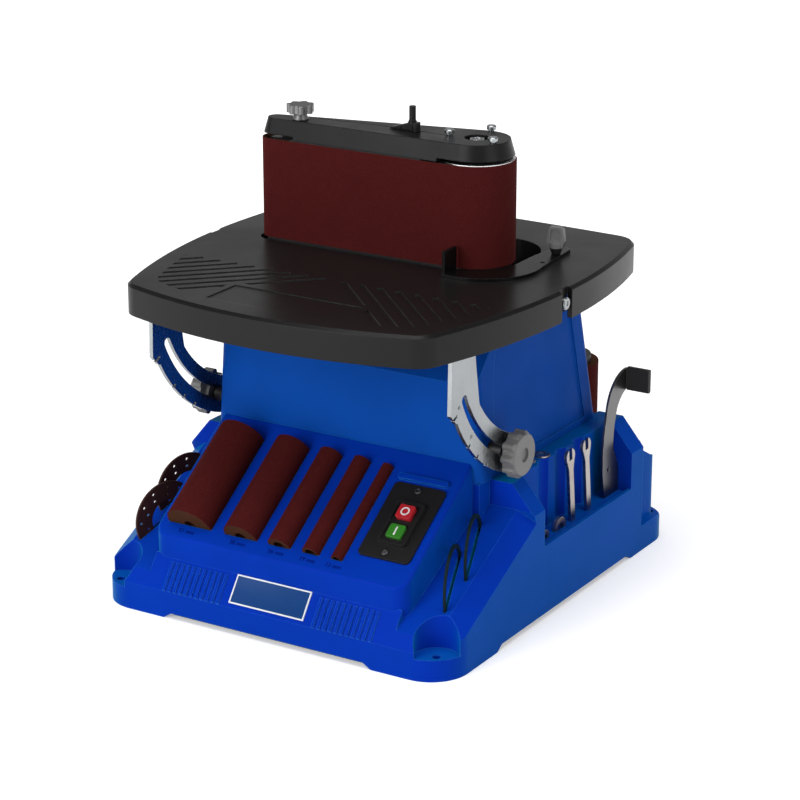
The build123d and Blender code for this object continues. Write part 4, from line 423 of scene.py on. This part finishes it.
# Dark blue of the raised drum figures: painted shade, standing for the shadow that makes them darker than the
# slope.
shaded_mark_blue = moulded("shaded_mark_blue", (0.0008, 0.012, 0.19), (0.002, 0.03, 0.30), 0.5, 0.03, edge=0.0002)
plate_blue = moulded("plate_blue", (0.006, 0.05, 0.20), (0.03, 0.1, 0.3), 0.42, 0.12, edge=0.0004)
border_white = moulded("border_white", (0.80, 0.82, 0.84), (0.85, 0.86, 0.88), 0.35, 0.4, edge=0.0003)
table_black = moulded("table_black", (0.0075, 0.0073, 0.0075), (0.05, 0.05, 0.052), 0.33, 0.165,
                      edge=0.0012, grain=1100.0, depth=0.00005, marks=9.0)
cover_black = moulded("cover_black", (0.0075, 0.0075, 0.0078), (0.06, 0.06, 0.062), 0.37, 0.145, edge=0.0016)
plate_dark = moulded("plate_dark", (0.022, 0.021, 0.021), (0.06, 0.06, 0.06), 0.55, 0.2, edge=0.0008)
trim_black = moulded("trim_black", (0.012, 0.011, 0.0115), (0.05, 0.05, 0.05), 0.42, 0.25,
                     edge=0.0006, grain=1800.0)
stop_black = moulded("stop_black", (0.0035, 0.0034, 0.0034), (0.10, 0.10, 0.10), 0.25, 0.15,
                     edge=0.0006, grain=1800.0, depth=0.00001)
insert_brown = two_tone("insert_brown", "X", 0.0, (0.046, 0.019, 0.0155), (0.005, 0.015, 0.016), 0.5, 0.08)
knob_grey = moulded("knob_grey", (0.152, 0.150, 0.150), (0.28, 0.28, 0.28), 0.40, 0.4,
                    edge=0.0010, grain=1700.0)
thumb_grey = two_tone("thumb_grey", "Z", THUMB_COLLAR_Z, (0.012, 0.012, 0.012), (0.15, 0.15, 0.152),
                      0.42, 0.4)
button_red = moulded("button_red", (0.52, 0.018, 0.028), (0.75, 0.1, 0.1), 0.28, 0.5,
                     edge=0.0008, grain=2400.0)
button_green = moulded("button_green", (0.035, 0.22, 0.02), (0.12, 0.42, 0.08), 0.28, 0.5,
                       edge=0.0008, grain=2400.0)
mark_white = moulded("mark_white", (0.82, 0.82, 0.82), (0.9, 0.9, 0.9), 0.4, 0.4, edge=0.0002)
ink_black = moulded("ink_black", (0.02, 0.02, 0.022), (0.05, 0.05, 0.05), 0.5, 0.3, edge=0.0001)
brown_rubber = moulded("brown_rubber", (0.062, 0.0235, 0.0105), (0.14, 0.07, 0.045), 0.8, 0.05,
                       edge=0.0008, grain=900.0, depth=0.00012, marks=40.0)
black_rubber = moulded("black_rubber", (0.019, 0.0183, 0.0183), (0.06, 0.06, 0.06), 0.62, 0.28,
                       edge=0.0009, grain=1200.0)
ground_steel = metal("ground_steel", (0.365, 0.385, 0.395), (0.25, 0.265, 0.275), 0.25, ALONG_Z, edge=0.0006)
screw_steel = metal("screw_steel", (0.16, 0.16, 0.165), (0.09, 0.09, 0.095), 0.38, ALONG_X)
spanner_steel = metal("spanner_steel", (0.55, 0.54, 0.53), (0.26, 0.19, 0.15), 0.26, ALONG_Z)
bright_steel = metal("bright_steel", (0.78, 0.78, 0.78), (0.62, 0.62, 0.63), 0.14, ALONG_Z)
bar_steel = metal("bar_steel", (0.20, 0.198, 0.20), (0.11, 0.105, 0.105), 0.30, ALONG_Z)
washer_steel = metal("washer_steel", (0.55, 0.47, 0.42), (0.36, 0.26, 0.2), 0.3, ALL_WAYS)
knob_metal = metal("knob_metal", (0.17, 0.17, 0.172), (0.12, 0.12, 0.122), 0.40, ALL_WAYS,
                   fineness=500.0, edge=0.001)
cast_metal = metal("cast_metal", (0.50, 0.50, 0.51), (0.36, 0.36, 0.37), 0.45, ALL_WAYS, fineness=700.0)
motor_iron = moulded("motor_iron", (0.09, 0.09, 0.095), (0.2, 0.2, 0.2), 0.5, 0.4, grain=700.0, depth=0.00008)
drum_grit = grit_coat("drum_grit", (0.064, 0.0081, 0.0079), (0.17, 0.043, 0.038), grains=2200.0)
belt_grit = belt_finish()
add_bloom(belt_grit, 0.05, 0.5, (1.0, 0.35, 0.33))

FINISHES = {
    base_blue: ["base_housing"],
    column_blue: ["column_housing"],
    table_black: ["table"],
    cover_black: ["belt_cover", "tension_lever"],
    trim_black: ["bottom_cover", "dust_port", "cord_gland", "switch_plate", "switch_body", "rear_post",
                 "motor_fan", "lock_studs"],
    stop_black: ["work_stop"],
    insert_brown: ["table_inserts"],
    knob_grey: ["lock_knob_left", "lock_knob_right"],
    thumb_grey: ["thumb_knob"],
    button_red: ["stop_button"],
    button_green: ["start_button"],
    brown_rubber: ["rubber_drums", "rear_drum"],
    black_rubber: ["drive_drum", "drive_belts", "bar_grip"],
    drum_grit: ["sleeve_51", "sleeve_38", "sleeve_26", "sleeve_19", "sleeve_13", "rear_sleeve"],
    belt_grit: ["sanding_belt"],
    ground_steel: ["trunnion_left", "trunnion_right", "trunnion_screws", "pivot_bolts", "cover_screws",
                   "spindle_nut", "idler_axle", "spindle_shaft", "quill", "spindle_bearings",
                   "drive_bearings"],
    spanner_steel: ["wrenches"],
    bar_steel: ["hook_bar"],
    washer_steel: ["spare_washers"],
    knob_metal: ["tracking_knob"],
    plate_dark: ["belt_lower_plate", "platen", "idler_carrier", "idler_roller"],
    cast_metal: ["quill_guide", "motor_bracket", "motor_pulley", "spindle_pulley", "cam_pulley"],
    motor_iron: ["motor_stator", "motor_rotor"],
}
for material, members in FINISHES.items():
    for member in members:
        mesh = nodes[member].data
        mesh.materials.clear()
        mesh.materials.append(material)


# Small fittings
def leaning_place(foot, rise, x, along, height):
    """Place on a face that leans back from its foot: local x to the right, local y up the face."""
    start = Vector((x, *foot))
    run = Vector((0, math.cos(rise), math.sin(rise))) * along
    lift = Vector((0, -math.sin(rise), math.cos(rise))) * height
    return Matrix.Translation((start + run + lift) * MM) @ Matrix.Rotation(rise, 4, "X")


def slope_place(x, along, height):
    """Place on the drum box's slope."""
    return leaning_place(SLOPE_FOOT, SLOPE, x, along, height)


def side_place(side, y, z, x):
    """Place on a face that looks out to the side: local y up."""
    turned = Matrix.Rotation(math.pi / 2, 4, "X")
    outward = Matrix.Rotation(side * math.pi / 2, 4, "Z")
    return Matrix.Translation((side * x * MM, y * MM, z * MM)) @ outward @ turned


def deselect():
    """Start with nothing selected."""
    bpy.ops.object.select_all(action="DESELECT")


def select_only(piece):
    """Select one piece and make it the active one."""
    deselect()
    piece.select_set(True)
    bpy.context.view_layer.objects.active = piece


def settle(piece, name, place, body, slot, *materials):
    """Put a finished piece in its place with its finish, and let it ride on a body."""
    select_only(piece)
    piece.matrix_world = place
    bpy.ops.object.transform_apply(location=True, rotation=True, scale=True)
    piece.name = name
    piece.data.name = name
    for material in materials:
        piece.data.materials.append(material)
    bpy.ops.object.shade_smooth_by_angle(angle=SMOOTH_BELOW)
    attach(piece, body)


def copied(piece):
    """Copy of a finished piece with its own mesh."""
    select_only(piece)
    bpy.ops.object.duplicate(linked=False)
    return bpy.context.object


def pick_faces(piece, wanted):
    """Select, in edit mode, the faces that the test wants."""
    bpy.ops.object.mode_set(mode="EDIT")
    bpy.ops.mesh.select_mode(type="FACE")
    bpy.ops.mesh.select_all(action="DESELECT")
    bpy.ops.object.mode_set(mode="OBJECT")
    for face in piece.data.polygons:
        face.select = wanted(face)
    bpy.ops.object.mode_set(mode="EDIT")


def soften(piece, width, segments=2):
    """Round the sharp edges of a piece with an applied bevel."""
    modifier = piece.modifiers.new("soft_edges", "BEVEL")
    modifier.width = width
    modifier.segments = segments
    modifier.limit_method = "ANGLE"
    bpy.ops.object.modifier_apply(modifier=modifier.name)


def slab(width, length, height):
    """Block that stands on its local origin, its size applied."""
    deselect()
    bpy.ops.mesh.primitive_cube_add(size=1.0, location=(0, 0, height * MM / 2))
    piece = bpy.context.object
    piece.scale = (width * MM, length * MM, height * MM)
    bpy.ops.object.transform_apply(location=True, rotation=True, scale=True)
    return piece


def name_plate():
    """Bare plate on the apron with a pale border round a sunk field."""
    plate = slab(PLATE_W, PLATE_L, PLATE_T)
    pick_faces(plate, lambda face: face.normal.z > FACES_UP)
    bpy.ops.mesh.inset(thickness=PLATE_BORDER * MM)
    bpy.ops.mesh.extrude_region_move(TRANSFORM_OT_translate={"value": (0, 0, -PLATE_FIELD_DEPTH * MM)})
    bpy.ops.object.mode_set(mode="OBJECT")
    soften(plate, PLATE_SOFT * MM)
    half_w, half_l = (PLATE_W / 2 - PLATE_BORDER) * MM, (PLATE_L / 2 - PLATE_BORDER) * MM
    for face in plate.data.polygons:
        in_field = abs(face.center.x) < half_w and abs(face.center.y) < half_l
        face.material_index = 1 if in_field else 0
    place = leaning_place(APRON_FOOT, APRON, 0, PLATE_ALONG, -PLATE_SUNK)
    settle(plate, "name_plate", place, "base", "blue_plastic", border_white, plate_blue)


def mark(name, words, size, place, body, slot, material, height=SIGN_T):
    """Raised figures, as a mesh."""
    deselect()
    bpy.ops.object.text_add()
    text = bpy.context.object
    text.data.body = words
    text.data.align_x, text.data.align_y = "CENTER", "CENTER"
    text.data.size = size * MM
    text.data.extrude = height * MM
    text.data.resolution_u = 3
    bpy.ops.object.convert(target="MESH")
    settle(bpy.context.object, name, place, body, slot, material)


def ring(radius, wall, height, steps=48):
    """Flat ring that stands on its local origin."""
    deselect()
    bpy.ops.mesh.primitive_circle_add(vertices=steps, radius=radius * MM, fill_type="NGON")
    piece = bpy.context.object
    pick_faces(piece, lambda face: True)
    bpy.ops.mesh.inset(thickness=wall * MM)
    bpy.ops.mesh.delete(type="FACE")
    bpy.ops.mesh.select_all(action="SELECT")
    bpy.ops.mesh.extrude_region_move(TRANSFORM_OT_translate={"value": (0, 0, height * MM)})
    bpy.ops.mesh.select_all(action="SELECT")
    bpy.ops.mesh.normals_make_consistent(inside=False)
    bpy.ops.object.mode_set(mode="OBJECT")
    return piece


def socket_screw(radius, height, socket, depth, steps=36):
    """Round screw head with a six-sided socket and a soft rim."""
    deselect()
    bpy.ops.mesh.primitive_cylinder_add(vertices=steps, radius=radius * MM, depth=height * MM,
                                        location=(0, 0, height * MM / 2))
    head = bpy.context.object
    bpy.ops.object.transform_apply(location=True)
    soften(head, 0.28 * height * MM, 3)
    deselect()
    bpy.ops.mesh.primitive_cylinder_add(vertices=6, radius=socket * MM, depth=2 * depth * MM,
                                        location=(0, 0, height * MM))
    hexagon = bpy.context.object
    select_only(head)
    cut = head.modifiers.new("socket", "BOOLEAN")
    cut.operation, cut.object, cut.solver = "DIFFERENCE", hexagon, "EXACT"
    bpy.ops.object.modifier_apply(modifier=cut.name)
    bpy.data.objects.remove(hexagon)
    return head


def drum_marks():
    """Size figures in front of each stored drum, in a darker blue that paints their shade."""
    for size, x in DRUMS:
        place = slope_place(x, DRUM_FIGURE_ALONG, 0.0)
        mark(f"drum_mark_{size}", f"{size} mm", DRUM_FIGURE, place, "base", "blue_plastic", shaded_mark_blue)


def switch_details():
    """Signs on the buttons and screws in the switch plate."""
    stop_sign = ring(STOP_SIGN_R, STOP_SIGN_WALL, SIGN_T)
    place = slope_place(KEYS_X, STOP_ALONG, STOP_H - SEAT)
    settle(stop_sign, "stop_sign", place, "stop_button", "red_plastic", mark_white)
    start_sign = slab(START_SIGN_W, START_SIGN_L, SIGN_T)
    soften(start_sign, START_SIGN_SOFT * MM)
    place = slope_place(KEYS_X, START_ALONG, START_H - SEAT)
    settle(start_sign, "start_sign", place, "start_button", "green_plastic", mark_white)
    screw = socket_screw(*SWITCH_SCREW)
    for end, side, piece in (("low", -1, copied(screw)), ("high", 1, screw)):
        place = slope_place(SWITCH_X, SWITCH_ALONG + side * SWITCH_SCREW_REACH, SWITCH_T - SEAT)
        settle(piece, f"switch_screw_{end}", place, "base", "black_plastic", screw_steel)


def angle_scale(side, label):
    """Angle figures on the outer face of a trunnion plate."""
    for angle in TILTS:
        turn = math.radians(LOCK_ANGLE - angle)
        y, z = PIVOT_Y + TILT_FIGURE_R * math.cos(turn), PIVOT_Z + TILT_FIGURE_R * math.sin(turn)
        place = side_place(side, y, z, TRUNNION_FACE_X - SEAT)
        mark(f"angle_{label}_{angle}", str(angle), TILT_FIGURE, place, "table", "steel", ink_black,
             height=TILT_FIGURE_T)


def pivot_caps():
    """Socket head on each pivot bolt."""
    head = socket_screw(*PIVOT_SCREW)
    for side, label, piece in ((-1, "left", copied(head)), (1, "right", head)):
        place = side_place(side, PIVOT_Y, PIVOT_Z, PIVOT_HEAD_X - PIVOT_SCREW_SEAT)
        settle(piece, f"pivot_socket_{label}", place, "table", "bright_steel", ground_steel)


def drum_rim():
    """Bright rim on top of the drive drum, which shows under the cover."""
    rim = ring(RIM_R, RIM_WALL, RIM_T, steps=96)
    place = Matrix.Translation((SPINDLE_X * MM, SPINDLE_Y * MM, (DRUM_TOP_Z - RIM_SEAT) * MM))
    settle(rim, "drum_rim", place, "spindle", "bright_steel", bright_steel)


name_plate()
drum_marks()
switch_details()
pivot_caps()
drum_rim()
for side, label in ((-1, "left"), (1, "right")):
    angle_scale(side, label)


# Floor, light and camera, in metres and watts
WHITE = (1.0, 1.0, 1.0, 1.0)
FLOOR_SIZE = 24.0
LAMP_AIM = (0, 0, 0.2)
LAMPS = (("front_left", (-0.8, -2.9, 1.1), 1.8, 56.0),      # name, place, size and power
         ("right_side", (2.7, -0.6, 1.3), 1.4, 17.0),
         ("above", (0.1, -0.4, 3.0), 2.2, 57.0))
VIEW_LENS, VIEW_SENSOR, VIEW_CLIP = 123.56, 36.0, 100.0     # lens and sensor in millimetres
VIEW_AZIMUTH, VIEW_ELEVATION = math.radians(31.43), math.radians(18.87)
VIEW_TARGET, VIEW_DISTANCE = (0.0012, 0.011, 0.17524), 2.78774


def shown_rays(tree):
    """One for rays of the camera, of gloss and through glass, which see the white surround."""
    rays = node(tree, "ShaderNodeLightPath")
    first = node(tree, "ShaderNodeMath", operation="MAXIMUM")
    tree.links.new(rays.outputs["Is Camera Ray"], first.inputs[0])
    tree.links.new(rays.outputs["Is Glossy Ray"], first.inputs[1])
    both = node(tree, "ShaderNodeMath", operation="MAXIMUM")
    tree.links.new(first.outputs["Value"], both.inputs[0])
    tree.links.new(rays.outputs["Is Transmission Ray"], both.inputs[1])
    return both.outputs["Value"]


def lay_floor():
    """Pale floor that turns white with distance."""
    deselect()
    bpy.ops.mesh.primitive_plane_add(size=FLOOR_SIZE)
    floor = bpy.context.object
    floor.name = "floor"
    pale, tree, shader = new_finish("floor_pale")
    shader.inputs["Base Color"].default_value = (0.88, 0.88, 0.885, 1.0)
    shader.inputs["Roughness"].default_value = 0.9
    shader.inputs["Specular IOR Level"].default_value = 0.0
    shader.inputs["Emission Color"].default_value = WHITE
    reach = node(tree, "ShaderNodeVectorMath", operation="LENGTH")
    tree.links.new(object_place(tree), reach.inputs[0])
    whiter = node(tree, "ShaderNodeMapRange", From_Min=0.5, From_Max=2.4, To_Min=0.34, To_Max=1.0)
    tree.links.new(reach.outputs["Value"], whiter.inputs["Value"])
    shown = node(tree, "ShaderNodeMath", operation="MULTIPLY")
    tree.links.new(whiter.outputs["Result"], shown.inputs[0])
    tree.links.new(shown_rays(tree), shown.inputs[1])
    tree.links.new(shown.outputs["Value"], shader.inputs["Emission Strength"])
    floor.data.materials.append(pale)


def light_surround():
    """Dim white light from all round, and a white wall where it is seen, greyer higher up."""
    world = bpy.data.worlds.new("surround")
    bpy.context.scene.world = world
    world.use_nodes = True
    tree = world.node_tree
    sky = tree.nodes["Background"]
    sky.inputs["Color"].default_value = WHITE
    sky.inputs["Strength"].default_value = 0.30
    wall = node(tree, "ShaderNodeBackground")
    wall.inputs["Color"].default_value = WHITE
    direction = node(tree, "ShaderNodeTexCoord").outputs["Generated"]
    fade = node(tree, "ShaderNodeMapRange", From_Min=0.1, From_Max=0.32, To_Min=1.0, To_Max=0.22)
    tree.links.new(axis_of(tree, direction, "Z"), fade.inputs["Value"])
    tree.links.new(fade.outputs["Result"], wall.inputs["Strength"])
    mixed = node(tree, "ShaderNodeMixShader")
    tree.links.new(shown_rays(tree), mixed.inputs["Fac"])
    tree.links.new(sky.outputs["Background"], mixed.inputs[1])
    tree.links.new(wall.outputs["Background"], mixed.inputs[2])
    tree.links.new(mixed.outputs["Shader"], tree.nodes["World Output"].inputs["Surface"])


def lamp(name, place, size, power):
    """Soft square lamp that looks at the object."""
    light = bpy.data.lights.new(name, "AREA")
    light.size = size
    light.energy = power
    fixture = bpy.data.objects.new(name, light)
    bpy.context.scene.collection.objects.link(fixture)
    fixture.location = place
    fixture.rotation_mode = "QUATERNION"
    fixture.rotation_quaternion = (Vector(LAMP_AIM) - Vector(place)).to_track_quat("-Z", "Y")


def camera():
    """Camera at the photograph's angle."""
    lens = bpy.data.cameras.new("view")
    lens.lens, lens.sensor_width, lens.clip_end = VIEW_LENS, VIEW_SENSOR, VIEW_CLIP
    viewer = bpy.data.objects.new("view", lens)
    bpy.context.scene.collection.objects.link(viewer)
    level = math.cos(VIEW_ELEVATION)
    back = Vector((math.sin(VIEW_AZIMUTH) * level, -math.cos(VIEW_AZIMUTH) * level, math.sin(VIEW_ELEVATION)))
    viewer.location = Vector(VIEW_TARGET) + back * VIEW_DISTANCE
    viewer.rotation_mode = "QUATERNION"
    viewer.rotation_quaternion = (-back).to_track_quat("-Z", "Y")
    bpy.context.scene.camera = viewer


lay_floor()
light_surround()
for name, place, size, power in LAMPS:
    lamp(name, place, size, power)
camera()
bpy.context.scene.view_settings.view_transform = "Standard"
